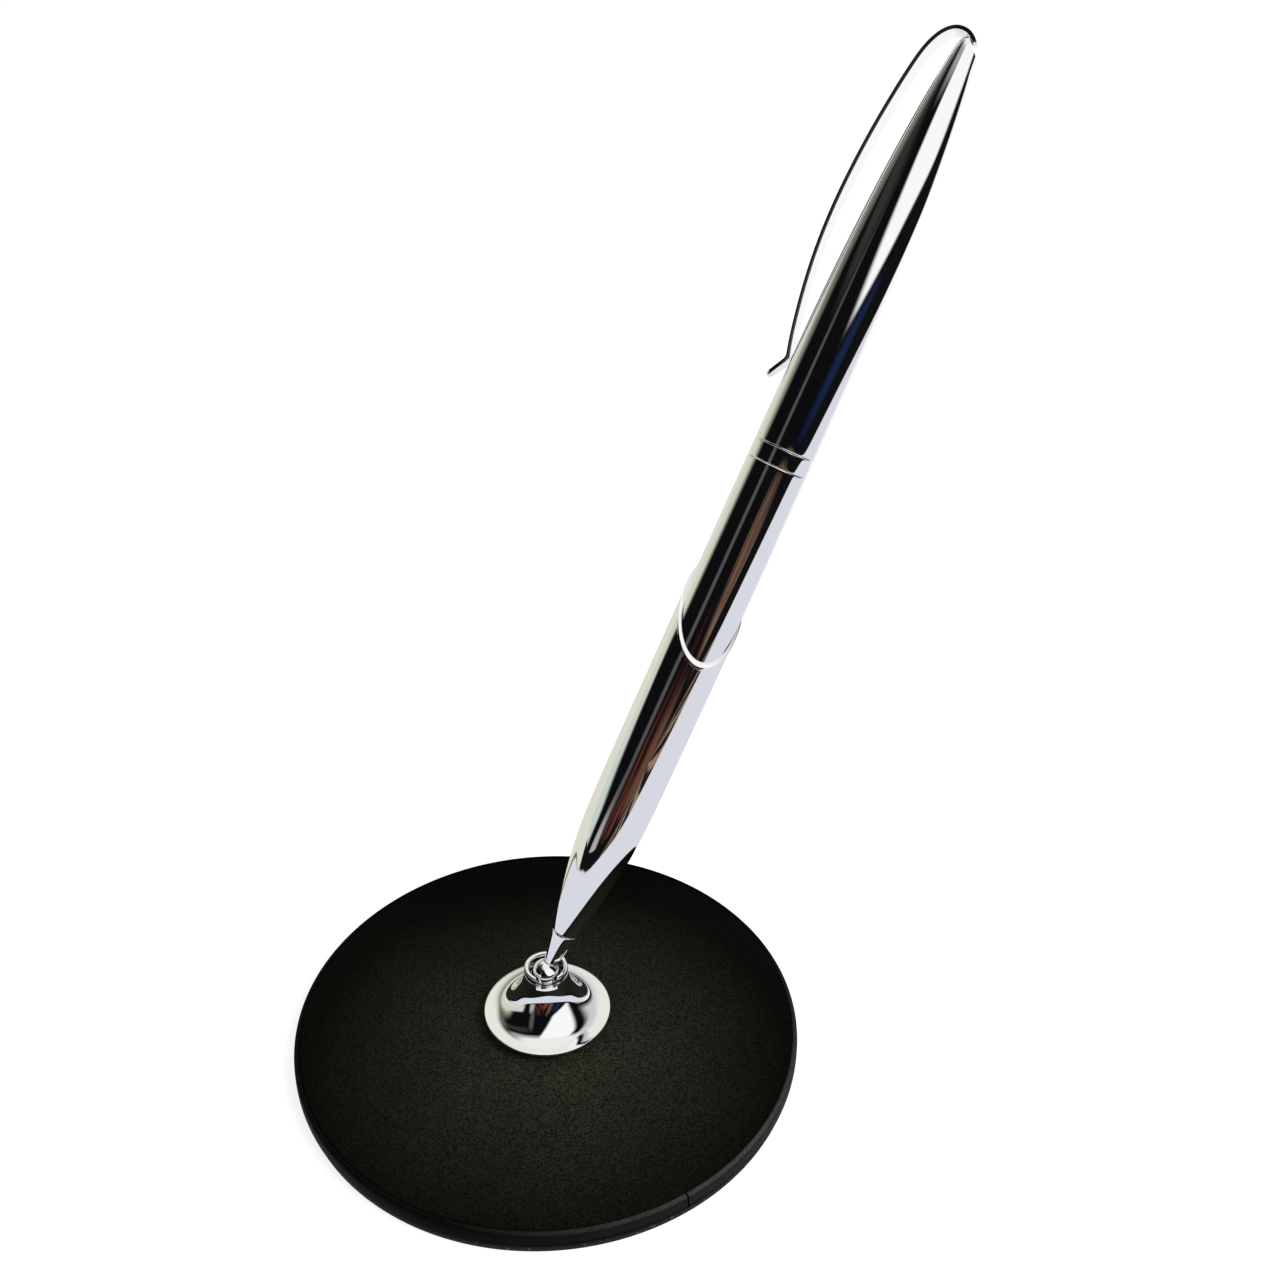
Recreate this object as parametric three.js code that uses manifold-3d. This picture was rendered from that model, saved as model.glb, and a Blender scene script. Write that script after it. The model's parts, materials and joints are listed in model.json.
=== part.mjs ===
// A slim metal twist pen that leans in a small swivel cup on a round leather desk base.
// Lengths are millimetres and +Z is up. The origin is the centre of the base's underside.
// Along the pen, heights are measured from the centre of the swivel ball towards the pointed end.
import * as THREE from "three";
import { mergeVertices } from "three/addons/utils/BufferGeometryUtils.js";
import Module from "manifold-3d";

const wasm = await Module();
wasm.setup();

// Clearances.
const FIT_GAP = 0.03;
const TURN_GAP = 0.05;
const SLIDE_GAP = 0.06;

// Desk base, from the table up.
const BASE_RADIUS = 40;
const PAD_THICK = 1.0;
const PAD_INSET = 0.4;
const PAD_ROUND = 0.25;
const PLATE_THICK = 2.4;
const PLATE_GAP = 0.4;
const TOP_THICK = 0.8;
const GROOVE = 0.3;
const BAND_THICK = 0.8;
const BAND_ROUND = 0.4;
const BAND_LOW_ROUND = 0.15;
const SEAM_ANGLE = -62;
const SEAM_WIDTH = 0.25;
const PAD_RADIUS = BASE_RADIUS - PAD_INSET;
const PLATE_TOP = PAD_THICK + PLATE_THICK;
const LEATHER_TOP = PLATE_TOP + TOP_THICK;
const BAND_BOTTOM = PAD_THICK + GROOVE;
const BAND_INNER = BASE_RADIUS - BAND_THICK;
const PLATE_RADIUS = BAND_INNER - PLATE_GAP;

// Fixing screw, washer and the spigot that they pull down.
const RECESS_RADIUS = 3.9;
const RECESS_DEPTH = 1.6;
const SPIGOT_RADIUS = 3.0;
const SPIGOT_CLEARANCE = 0.1;
const SCREW_RADIUS = 1.45;
const SCREW_ROUND = 0.4;
const SCREW_IN_STAND = 3.8;
const SCREW_TIP_ROOM = 0.3;
const SCREW_HEAD_RADIUS = 2.9;
const SCREW_HEAD_ROUND = 0.3;
const SCREW_SLOT_WIDTH = 0.6;
const SCREW_SLOT_DEPTH = 0.5;
const WASHER_RADIUS = 3.6;
const WASHER_THICK = 0.5;
const RECESS_TOP = PAD_THICK + RECESS_DEPTH;
const SPIGOT_HOLE = SPIGOT_RADIUS + SPIGOT_CLEARANCE;
const SCREW_HEAD_LOW = PAD_THICK + TURN_GAP;
const SCREW_END = LEATHER_TOP + SCREW_IN_STAND;

// Trumpet stand: radius and height above the leather, from the rim of the flange to the cup.
const FLANGE_FOOT_RADIUS = 8.2;
const TRUMPET = [
  [9.3, 1.3],
  [10.0, 1.75],
  [10.08, 2.0],
  [9.95, 2.18],
  [9.2, 2.22],
  [8.0, 2.48],
  [7.2, 2.92],
  [6.5, 3.5],
  [5.8, 4.27],
  [5.2, 5.1],
  [4.6, 6.15],
  [4.15, 7.1],
  [3.85, 8.0],
  [3.6, 8.9],
  [3.42, 9.7],
  [3.42, 9.85],
];
const CUP_RADIUS = 2.75;
const CUP_FLOOR = 5.2;
const [NECK_RADIUS, NECK_TOP] = TRUMPET[TRUMPET.length - 1];

// Rim collar that keeps the swivel race in the cup.
const COLLAR_LIP = 0.13;
const COLLAR_PROUD = 0.04;
const COLLAR_HEIGHT = 1.15;
const COLLAR_ROUND = 0.3;
const COLLAR_HOLE = CUP_RADIUS - COLLAR_LIP;
const COLLAR_RADIUS = NECK_RADIUS + COLLAR_PROUD;
const COLLAR_TOP = NECK_TOP + COLLAR_HEIGHT;

// Slot through the front of the cup's wall and collar.
const SLOT_WIDTH = 3.3;
const SLOT_DEPTH = 1.9;
const SLOT_FLOOR = COLLAR_TOP - SLOT_DEPTH;

// Ball, the race that cradles it and what lies under them, heights above the leather.
const BALL_BELOW_NECK = 0.31;
const BALL_RADIUS = 2.3;
const BALL_MOUTH = 1.9;
const BALL_FOOT = -2.1;
const MAGNET_SLACK = 0.15;
const MAGNET_THICK = 1.22;
const SPREAD_PAD_THICK = 0.52;
const RACE_BELOW_BALL = 0.45;
const RACE_DRAIN = 0.7;
const RACE_ROUND = 0.1;
const BALL_HEIGHT = NECK_TOP - BALL_BELOW_NECK;
const MAGNET_RADIUS = CUP_RADIUS - MAGNET_SLACK;
const MAGNET_TOP = CUP_FLOOR + MAGNET_THICK;
const SPREAD_PAD_TOP = MAGNET_TOP + SPREAD_PAD_THICK;
const RACE_RADIUS = CUP_RADIUS - TURN_GAP;
const RACE_TOP = BALL_HEIGHT - RACE_BELOW_BALL;
const RACE_BOTTOM = SPREAD_PAD_TOP + SLIDE_GAP;

// How the pen stands: lean from upright, and the way it leans seen from above.
const LEAN = 29.87;
const LEAN_TOWARDS = 32.88;

// Nose cone.
const NOSE_END = -0.4;
const NOSE_END_RADIUS = 0.72;
const NOSE_TOP = 7.4;
const NOSE_TOP_RADIUS = 2.0;
const NOSE_THREAD_RADIUS = 1.7;
const NOSE_THREAD_LENGTH = 4.0;
const NOSE_HOLE = 0.5;
const NOSE_HOLE_TOP = 1.6;
const NOSE_BORE = 1.25;
const NOSE_BORE_LOW = 5.6;
const NOSE_THREAD_TOP = NOSE_TOP + NOSE_THREAD_LENGTH;

// Front barrel: place along the pen above the nose cone, and radius.
const FRONT_OUTSIDE = [
  [0.8, 2.22],
  [3.6, 2.8],
  [6.6, 3.33],
  [9.6, 3.8],
  [12.6, 4.22],
  [15.6, 4.6],
  [18.6, 4.82],
  [22.6, 4.92],
  [28.6, 4.98],
  [34.6, 5.0],
];
const FRONT_INSIDE = [
  [19.6, 4.1],
  [12.6, 3.4],
  [7.1, 2.5],
  [4.4, 1.76],
];
const FRONT_RADIUS = FRONT_OUTSIDE[FRONT_OUTSIDE.length - 1][1];
const FRONT_LENGTH = 55.3;
const LINER_RADIUS = 4.05;
const LINER_HOLE = 3.4;
const LINER_REACH = 17.7;
const BARREL_BORE = LINER_RADIUS + TURN_GAP;
const THREAD_ROOM = 0.2;

// Slanted trim ring between the front and the rear barrel.
const SLANT_MIDDLE = NOSE_TOP + FRONT_LENGTH;
const SLANT_SLOPE = 1.5;
const SLANT_LOW_ANGLE = -118.8;
const TRIM_ALONG = 0.5;
const TRIM_PROUD = 0.12;
const TRIM_RADIUS = FRONT_RADIUS + TRIM_PROUD;
const LINER_LOW = SLANT_MIDDLE - LINER_REACH;

// Rear barrel and centre band.
const REAR_RADIUS = 4.66;
const REAR_LENGTH = 23.8;
const BAND_LENGTH = 2.7;
const EDGE_CHAMFER = 0.12;
const REAR_TOP = SLANT_MIDDLE + REAR_LENGTH;
const BAND_TOP = REAR_TOP + BAND_LENGTH;

// Upper barrel, from the centre band to the pointed end: depth below the end, and radius.
const UPPER_LENGTH = 61;
const UPPER_TIP = 0.4;
const UPPER_TIP_RADIUS = 0.72;
const UPPER_OUTSIDE = [
  [50.2, 4.61],
  [45.2, 4.59],
  [40.2, 4.53],
  [35.2, 4.42],
  [30.2, 4.24],
  [25.2, 4.0],
  [20.2, 3.71],
  [15.2, 3.34],
  [10.2, 2.86],
  [5.2, 2.25],
  [2.2, 1.78],
  [1.1, 1.46],
  [0.6, 1.26],
  [0, 0.98],
];
const UPPER_INSIDE = [
  [5.6, 1.35],
  [10.2, 2.05],
  [20.2, 2.95],
  [30.2, 3.5],
  [35.2, 3.75],
  [42.2, 3.98],
];
const RIVET_HOLE_LENGTH = 5.1;
const UPPER_BORE = UPPER_INSIDE[UPPER_INSIDE.length - 1][1];
const UPPER_END = BAND_TOP + UPPER_LENGTH;

// Clip strip: the middle line of its thickness from its tail behind the pointed end, over the end
// and down to its foot, as distance from the axis and height above the end.
const CLIP_ANGLE = 113.2;
const CLIP_THICK = 0.6;
const CLIP_SEAT_GAP = 0.07;
const CLIP_LINE = [
  [-0.93, -0.76],
  [-0.77, -0.5],
  [-0.49, -0.16],
  [0.03, 0.24],
  [0.63, 0.48],
  [1.28, 0.57],
  [1.9, 0.55],
  [2.5, 0.38],
  [3.1, 0.04],
  [3.7, -0.48],
  [4.3, -1.22],
  [4.85, -2.3],
  [5.25, -3.35],
  [5.65, -4.75],
  [6.3, -8.2],
  [6.95, -12.6],
  [7.52, -17.6],
  [7.9, -23.1],
  [8.0, -28.1],
  [7.8, -33.1],
  [7.25, -38.1],
  [6.5, -42.6],
  [5.78, -46.1],
  [5.27, -48.0],
  [5.03, -48.8],
  [5.22, -49.45],
  [5.95, -50.55],
  [7.1, -52.4],
];
const CLIP_HALF_WIDTHS = [
  [1.3, -51.5],
  [1.3, -48.1],
  [1.45, -38.1],
  [1.7, -10.1],
  [1.7, -2],
  [1.5, 2],
];
const CLIP_STEPS = 84;

// Rivet that pins the clip on the pointed end, filed flush with the strip.
const RIVET_RADIUS = 0.45;
const RIVET_LENGTH = 4.2;
const RIVET_GAP = 0.08;
const RIVET_SUNK = 0.02;
const RIVET_LOW = UPPER_END - RIVET_LENGTH;

// Twist mechanism behind the refill.
const GUIDE_BELOW_BAND = 1.5;
const GUIDE_LENGTH = 29;
const FOLLOWER_RADIUS = 2.6;
const FOLLOWER_IN_GUIDE = 2;
const FOLLOWER_LENGTH = 25;
const FOLLOWER_GRIP = 8;
const FOLLOWER_WEB = 2.1;
const SPINDLE_RADIUS = 1.5;
const SPINDLE_ROUND = 0.3;
const SPINDLE_TIP_ROOM = 1.5;
const COLLAR_OVERHANG = 0.1;
const SHANK_RADIUS = 2.9;
const SHANK_PAST_BUSH = 1;
const BUSH_ABOVE_BAND = 0.8;
const BUSH_LENGTH = 13;
const RING_THICK_RADIUS = 0.42;
const RING_SLACK = 0.33;
const GUIDE_TOP = REAR_TOP - GUIDE_BELOW_BAND;
const GUIDE_LOW = GUIDE_TOP - GUIDE_LENGTH;
const FOLLOWER_TOP = GUIDE_TOP - FOLLOWER_IN_GUIDE;
const FOLLOWER_LOW = FOLLOWER_TOP - FOLLOWER_LENGTH;
const SPINDLE_COLLAR_LOW = REAR_TOP - COLLAR_OVERHANG;
const SPINDLE_COLLAR_TOP = BAND_TOP + COLLAR_OVERHANG;
const BUSH_LOW = BAND_TOP + BUSH_ABOVE_BAND;
const BUSH_TOP = BUSH_LOW + BUSH_LENGTH;
const SHANK_TOP = BUSH_TOP + SHANK_PAST_BUSH;
const RING_MIDDLE = (GUIDE_TOP + SPINDLE_COLLAR_LOW) / 2;
const RING_CENTRE_RADIUS = SPINDLE_RADIUS + RING_THICK_RADIUS + RING_SLACK;

// Refill, drawn in, held by the follower.
const POINT_END = 0;
const BALL_POINT_RADIUS = 0.3;
const POINT_RADIUS = 0.42;
const POINT_TAPER_LOW = 3.2;
const POINT_TAPER_TOP = 7.2;
const REFILL_RADIUS = 1.12;
const REFILL_BORE = 0.75;
const POINT_TOP = 8.2;
const POINT_PLUG_LENGTH = 2.8;
const PLUG_LENGTH = 2;
const PLUG_HEAD = 1.2;
const PLUG_ROOM = 0.2;
const TUBE_TOP = FOLLOWER_LOW + FOLLOWER_GRIP;
const PLUG_TOP = TUBE_TOP + PLUG_HEAD;
const FOLLOWER_REFILL_END = PLUG_TOP + PLUG_ROOM;
const FOLLOWER_SCREW_END = FOLLOWER_REFILL_END + FOLLOWER_WEB;
const SPINDLE_LOW = FOLLOWER_SCREW_END + SPINDLE_TIP_ROOM;

// Facets round each turned piece.
const BASE_FACETS = 80;
const STAND_FACETS = 56;
const PEN_FACETS = 40;
const SMALL_FACETS = 24;

const RAD = Math.PI / 180;

const LEATHER = { color: 0x111113, roughness: 0.6, metalness: 0 };
const CHROME = { color: 0xd5d8dc, roughness: 0.06, metalness: 1 };
const STEEL = { color: 0x9a9da0, roughness: 0.4, metalness: 1 };
const BRASS = { color: 0xb59a4c, roughness: 0.35, metalness: 1 };
const NYLON = { color: 0xe6e4dc, roughness: 0.5, metalness: 0 };
const RUBBER = { color: 0x202022, roughness: 0.7, metalness: 0 };

const desk = new THREE.Group();

// The pen's own frame: its axis along Z, with the ball's centre at the origin.
const leaned = new THREE.Group();
leaned.position.set(0, 0, LEATHER_TOP + BALL_HEIGHT);
leaned.rotation.set(0, LEAN * RAD, LEAN_TOWARDS * RAD, "ZYX");
desk.add(leaned);

// A solid turned about Z from its section, given as [radius, height] pairs.
function turned(section, facets) {
  const points = section.map(([r, z]) => new THREE.Vector2(r, z));
  const onAxis = points[0].x === 0 && points[points.length - 1].x === 0;
  if (!onAxis) {
    points.push(points[0].clone());
  }
  const shape = THREE.ShapeUtils.area(points);
  if (shape < 0) {
    points.reverse();
  }
  return new THREE.LatheGeometry(points, facets).rotateX(Math.PI / 2);
}

// A tube between two heights.
function tube(inner, outer, low, high) {
  return [
    [inner, low],
    [outer, low],
    [outer, high],
    [inner, high],
  ];
}

function toSolid(geometry) {
  const bare = new THREE.BufferGeometry();
  bare.setAttribute("position", geometry.getAttribute("position"));
  if (geometry.index) {
    bare.setIndex(geometry.index);
  }
  const merged = mergeVertices(bare, 1e-4);
  return new wasm.Manifold(
    new wasm.Mesh({
      numProp: 3,
      vertProperties: merged.attributes.position.array,
      triVerts: new Uint32Array(merged.index.array),
    }),
  );
}

// A plain rod along Y, centred on the origin.
function rod(radius, length, facets) {
  return toSolid(new THREE.CylinderGeometry(radius, radius, length, facets));
}

function toGeometry(solid) {
  const mesh = solid.getMesh();
  const geometry = new THREE.BufferGeometry();
  geometry.setAttribute("position", new THREE.BufferAttribute(mesh.vertProperties, 3));
  geometry.setIndex(new THREE.BufferAttribute(mesh.triVerts, 1));
  geometry.computeVertexNormals();
  return geometry;
}

function add(group, name, geometry, look) {
  const mesh = new THREE.Mesh(geometry, new THREE.MeshStandardMaterial(look));
  mesh.name = name;
  group.add(mesh);
}

// Bottom pad.
add(
  desk,
  "bottom_pad",
  turned(
    [
      [0, 0],
      [PAD_RADIUS - PAD_ROUND, 0],
      [PAD_RADIUS, PAD_ROUND],
      [PAD_RADIUS, PAD_THICK - PAD_ROUND],
      [PAD_RADIUS - PAD_ROUND, PAD_THICK],
      [0, PAD_THICK],
    ],
    BASE_FACETS,
  ),
  LEATHER,
);

// Steel weight plate, recessed below for the screw head.
add(
  desk,
  "weight_plate",
  turned(
    [
      [RECESS_RADIUS, PAD_THICK],
      [PLATE_RADIUS, PAD_THICK],
      [PLATE_RADIUS, PLATE_TOP],
      [SPIGOT_HOLE, PLATE_TOP],
      [SPIGOT_HOLE, RECESS_TOP],
      [RECESS_RADIUS, RECESS_TOP],
    ],
    BASE_FACETS,
  ),
  STEEL,
);

// Leather top disc, laid inside the band.
add(
  desk,
  "leather_top",
  turned(tube(SPIGOT_HOLE, BAND_INNER - FIT_GAP, PLATE_TOP, LEATHER_TOP), BASE_FACETS),
  LEATHER,
);

// Leather band round the side, with a butt seam.
const bandRing = toSolid(
  turned(
    [
      [BAND_INNER, BAND_BOTTOM],
      [BASE_RADIUS - BAND_LOW_ROUND, BAND_BOTTOM],
      [BASE_RADIUS, BAND_BOTTOM + BAND_LOW_ROUND],
      [BASE_RADIUS, LEATHER_TOP - BAND_ROUND],
      [BASE_RADIUS - BAND_ROUND * 0.3, LEATHER_TOP - BAND_ROUND * 0.3],
      [BASE_RADIUS - BAND_ROUND, LEATHER_TOP],
      [BAND_INNER, LEATHER_TOP],
    ],
    BASE_FACETS,
  ),
);
const seamCut = toSolid(
  new THREE.BoxGeometry(4 * BAND_THICK, SEAM_WIDTH, 2 * LEATHER_TOP)
    .translate(BASE_RADIUS, 0, LEATHER_TOP)
    .rotateZ(SEAM_ANGLE * RAD),
);
add(desk, "leather_band", toGeometry(bandRing.subtract(seamCut)), LEATHER);

// Screw with a slotted head, and its washer.
const headTop = RECESS_TOP - WASHER_THICK;
const screwBody = toSolid(
  turned(
    [
      [0, SCREW_HEAD_LOW],
      [SCREW_HEAD_RADIUS - SCREW_HEAD_ROUND, SCREW_HEAD_LOW],
      [SCREW_HEAD_RADIUS, SCREW_HEAD_LOW + SCREW_HEAD_ROUND],
      [SCREW_HEAD_RADIUS, headTop],
      [SCREW_RADIUS, headTop],
      [SCREW_RADIUS, SCREW_END - SCREW_ROUND],
      [SCREW_RADIUS - SCREW_ROUND, SCREW_END],
      [0, SCREW_END],
    ],
    SMALL_FACETS,
  ),
);
const slotBlock = [3 * SCREW_HEAD_RADIUS, SCREW_SLOT_WIDTH, 2 * SCREW_SLOT_DEPTH];
const screwSlot = toSolid(
  new THREE.BoxGeometry(...slotBlock).translate(0, 0, SCREW_HEAD_LOW),
);
add(desk, "fixing_screw", toGeometry(screwBody.subtract(screwSlot)), STEEL);
add(
  desk,
  "screw_washer",
  turned(tube(SCREW_RADIUS + TURN_GAP, WASHER_RADIUS, headTop, RECESS_TOP), SMALL_FACETS),
  STEEL,
);

// Trumpet stand: flange, flaring neck and cup in one turned piece, slotted in front.
const above = (h) => LEATHER_TOP + h;
const cupSlot = toSolid(
  new THREE.BoxGeometry(SLOT_WIDTH, 2 * NECK_RADIUS, 2 * SLOT_DEPTH)
    .translate(0, -NECK_RADIUS - CUP_RADIUS / 2, above(SLOT_FLOOR + SLOT_DEPTH)),
);
const standBody = toSolid(
  turned(
    [
      [SCREW_RADIUS + TURN_GAP, RECESS_TOP + FIT_GAP],
      [SPIGOT_RADIUS, RECESS_TOP + FIT_GAP],
      [SPIGOT_RADIUS, LEATHER_TOP],
      [FLANGE_FOOT_RADIUS, LEATHER_TOP],
      ...TRUMPET.map(([r, h]) => [r, above(h)]),
      [CUP_RADIUS, above(NECK_TOP)],
      [CUP_RADIUS, above(CUP_FLOOR)],
      [0, above(CUP_FLOOR)],
      [0, SCREW_END + SCREW_TIP_ROOM],
      [SCREW_RADIUS + TURN_GAP, SCREW_END + SCREW_TIP_ROOM],
    ],
    STAND_FACETS,
  ),
);
add(desk, "trumpet_stand", toGeometry(standBody.subtract(cupSlot)), CHROME);

const collarBody = toSolid(
  turned(
    [
      [COLLAR_HOLE, above(NECK_TOP)],
      [COLLAR_RADIUS - 0.2 * COLLAR_ROUND, above(NECK_TOP)],
      [COLLAR_RADIUS, above(NECK_TOP + 0.5 * COLLAR_ROUND)],
      [COLLAR_RADIUS, above(COLLAR_TOP - 1.5 * COLLAR_ROUND)],
      [COLLAR_RADIUS - COLLAR_ROUND / 3, above(COLLAR_TOP - 0.5 * COLLAR_ROUND)],
      [COLLAR_RADIUS - COLLAR_ROUND, above(COLLAR_TOP)],
      [COLLAR_HOLE + COLLAR_ROUND, above(COLLAR_TOP)],
      [COLLAR_HOLE + 0.25 * COLLAR_ROUND, above(COLLAR_TOP - 0.5 * COLLAR_ROUND)],
      [COLLAR_HOLE, above(COLLAR_TOP - 1.4 * COLLAR_ROUND)],
    ],
    STAND_FACETS,
  ),
);
add(desk, "cup_collar", toGeometry(collarBody.subtract(cupSlot)), CHROME);

// Magnet and slippery pad on the cup's floor.
add(
  desk,
  "cup_magnet",
  turned(
    [
      [0, above(CUP_FLOOR)],
      [MAGNET_RADIUS, above(CUP_FLOOR)],
      [MAGNET_RADIUS, above(MAGNET_TOP)],
      [0, above(MAGNET_TOP)],
    ],
    SMALL_FACETS,
  ),
  STEEL,
);
add(
  desk,
  "swivel_pad",
  turned(
    [
      [0, above(MAGNET_TOP)],
      [RACE_RADIUS, above(MAGNET_TOP)],
      [RACE_RADIUS, above(SPREAD_PAD_TOP)],
      [0, above(SPREAD_PAD_TOP)],
    ],
    SMALL_FACETS,
  ),
  NYLON,
);

// Race: a ring with a round hollow that the magnet draws the ball into.
const hollow = BALL_RADIUS + SLIDE_GAP;
const hollowArc = [];
for (let step = 0; step <= 8; step += 1) {
  const highest = -Math.asin(RACE_BELOW_BALL / hollow);
  const lowest = -Math.acos(RACE_DRAIN / hollow);
  const angle = highest + ((lowest - highest) * step) / 8;
  hollowArc.push([hollow * Math.cos(angle), above(BALL_HEIGHT + hollow * Math.sin(angle))]);
}
add(
  desk,
  "swivel_race",
  turned(
    [
      [RACE_DRAIN, above(RACE_BOTTOM)],
      [RACE_RADIUS - RACE_ROUND, above(RACE_BOTTOM)],
      [RACE_RADIUS, above(RACE_BOTTOM + RACE_ROUND)],
      [RACE_RADIUS, above(RACE_TOP - RACE_ROUND)],
      [RACE_RADIUS - RACE_ROUND, above(RACE_TOP)],
      ...hollowArc,
    ],
    SMALL_FACETS,
  ),
  STEEL,
);

// Ball with a tapered seat for the nose.
const noseSlope = (NOSE_TOP_RADIUS - NOSE_END_RADIUS) / (NOSE_TOP - NOSE_END);
const noseRadius = (s) => NOSE_END_RADIUS + noseSlope * (s - NOSE_END);
const ballArc = [];
for (let step = 0; step <= 12; step += 1) {
  const top = Math.asin(BALL_MOUTH / BALL_RADIUS);
  const bottom = Math.asin(BALL_FOOT / BALL_RADIUS);
  const angle = top + ((bottom - top) * step) / 12;
  ballArc.push([BALL_RADIUS * Math.cos(angle), BALL_RADIUS * Math.sin(angle)]);
}
add(
  leaned,
  "swivel_ball",
  turned(
    [
      [noseRadius(BALL_MOUTH) + SLIDE_GAP, BALL_MOUTH],
      ...ballArc,
      [NOSE_HOLE + FIT_GAP, BALL_FOOT],
      [NOSE_HOLE + FIT_GAP, NOSE_END - 2 * TURN_GAP],
      [NOSE_END_RADIUS + SLIDE_GAP, NOSE_END - TURN_GAP],
    ],
    SMALL_FACETS,
  ),
  CHROME,
);

// Nose cone, screwed into the front barrel.
add(
  leaned,
  "nose_cone",
  turned(
    [
      [NOSE_HOLE, NOSE_END],
      [NOSE_END_RADIUS - EDGE_CHAMFER / 2, NOSE_END],
      [NOSE_END_RADIUS, NOSE_END + EDGE_CHAMFER],
      [NOSE_TOP_RADIUS - EDGE_CHAMFER / 2, NOSE_TOP - EDGE_CHAMFER],
      [NOSE_TOP_RADIUS - EDGE_CHAMFER, NOSE_TOP],
      [NOSE_THREAD_RADIUS, NOSE_TOP],
      [NOSE_THREAD_RADIUS, NOSE_THREAD_TOP],
      [NOSE_BORE, NOSE_THREAD_TOP],
      [NOSE_BORE, NOSE_BORE_LOW],
      [NOSE_HOLE, NOSE_HOLE_TOP],
    ],
    PEN_FACETS,
  ),
  CHROME,
);

// The slanted seam's plane, at right angles to this direction.
const lowX = Math.cos(SLANT_LOW_ANGLE * RAD);
const lowY = Math.sin(SLANT_LOW_ANGLE * RAD);
const seamNormal = [SLANT_SLOPE * lowX, SLANT_SLOPE * lowY, 1];
const seamLength = Math.hypot(...seamNormal);

// The side of a solid that lies below the slanted seam, or above it.
function belowSeam(solid, along) {
  const flipped = seamNormal.map((v) => -v / seamLength);
  return solid.trimByPlane(flipped, -along / seamLength);
}
function aboveSeam(solid, along) {
  const unit = seamNormal.map((v) => v / seamLength);
  return solid.trimByPlane(unit, along / seamLength);
}

const frontFull = toSolid(
  turned(
    [
      [NOSE_THREAD_RADIUS + FIT_GAP, NOSE_TOP + FIT_GAP],
      [NOSE_TOP_RADIUS - EDGE_CHAMFER / 2, NOSE_TOP + FIT_GAP],
      [NOSE_TOP_RADIUS + EDGE_CHAMFER / 2, NOSE_TOP + FIT_GAP + EDGE_CHAMFER],
      ...FRONT_OUTSIDE.map(([s, r]) => [r, NOSE_TOP + s]),
      [FRONT_RADIUS, REAR_TOP],
      [BARREL_BORE, REAR_TOP],
      ...FRONT_INSIDE.map(([s, r]) => [r, NOSE_TOP + s]),
      [NOSE_THREAD_RADIUS + FIT_GAP, NOSE_THREAD_TOP + THREAD_ROOM],
    ],
    PEN_FACETS,
  ),
);
add(leaned, "front_barrel", toGeometry(belowSeam(frontFull, SLANT_MIDDLE)), CHROME);

const trimTube = toSolid(turned(tube(BARREL_BORE, TRIM_RADIUS, LINER_LOW, REAR_TOP), PEN_FACETS));
const trimLow = aboveSeam(trimTube, SLANT_MIDDLE + FIT_GAP);
const trimRing = belowSeam(trimLow, SLANT_MIDDLE + FIT_GAP + TRIM_ALONG);
add(leaned, "trim_ring", toGeometry(trimRing), CHROME);

const rearFull = toSolid(
  turned(
    [
      [BARREL_BORE, LINER_LOW],
      [REAR_RADIUS, LINER_LOW],
      [REAR_RADIUS, REAR_TOP - EDGE_CHAMFER],
      [REAR_RADIUS - EDGE_CHAMFER, REAR_TOP],
      [BARREL_BORE, REAR_TOP],
    ],
    PEN_FACETS,
  ),
);
const rearAlong = SLANT_MIDDLE + 2 * FIT_GAP + TRIM_ALONG;
add(leaned, "rear_barrel", toGeometry(aboveSeam(rearFull, rearAlong)), CHROME);

add(
  leaned,
  "centre_band",
  turned(
    [
      [BARREL_BORE, REAR_TOP + FIT_GAP],
      [REAR_RADIUS - EDGE_CHAMFER, REAR_TOP + FIT_GAP],
      [REAR_RADIUS, REAR_TOP + FIT_GAP + EDGE_CHAMFER],
      [REAR_RADIUS, BAND_TOP - EDGE_CHAMFER],
      [REAR_RADIUS - EDGE_CHAMFER, BAND_TOP],
      [BARREL_BORE, BAND_TOP],
    ],
    PEN_FACETS,
  ),
  CHROME,
);

add(
  leaned,
  "joining_sleeve",
  turned(tube(LINER_HOLE, LINER_RADIUS, LINER_LOW, BAND_TOP), PEN_FACETS),
  BRASS,
);

// The clip's middle line, and a line beside it at a given distance outwards.
const clipCurve = new THREE.CatmullRomCurve3(
  CLIP_LINE.map(([out, rise]) => new THREE.Vector3(out, UPPER_END + rise, 0)),
  false,
  "centripetal",
);
const clipMiddle = clipCurve.getSpacedPoints(CLIP_STEPS);
function besideClip(distance) {
  return clipMiddle.map((p, i) => {
    const before = clipMiddle[Math.max(i - 1, 0)];
    const after = clipMiddle[Math.min(i + 1, CLIP_STEPS)];
    const along = new THREE.Vector2(after.x - before.x, after.y - before.y).normalize();
    return new THREE.Vector2(p.x - along.y * distance, p.y + along.x * distance);
  });
}

// A flat shape in the clip's own plane, given its width.
const widest = Math.max(...CLIP_HALF_WIDTHS.map(([half]) => half));
function acrossClip(outline) {
  return toSolid(
    new THREE.ExtrudeGeometry(new THREE.Shape(outline), { depth: 4 * widest, bevelEnabled: false })
      .translate(0, 0, -2 * widest)
      .rotateX(Math.PI / 2),
  );
}

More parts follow.
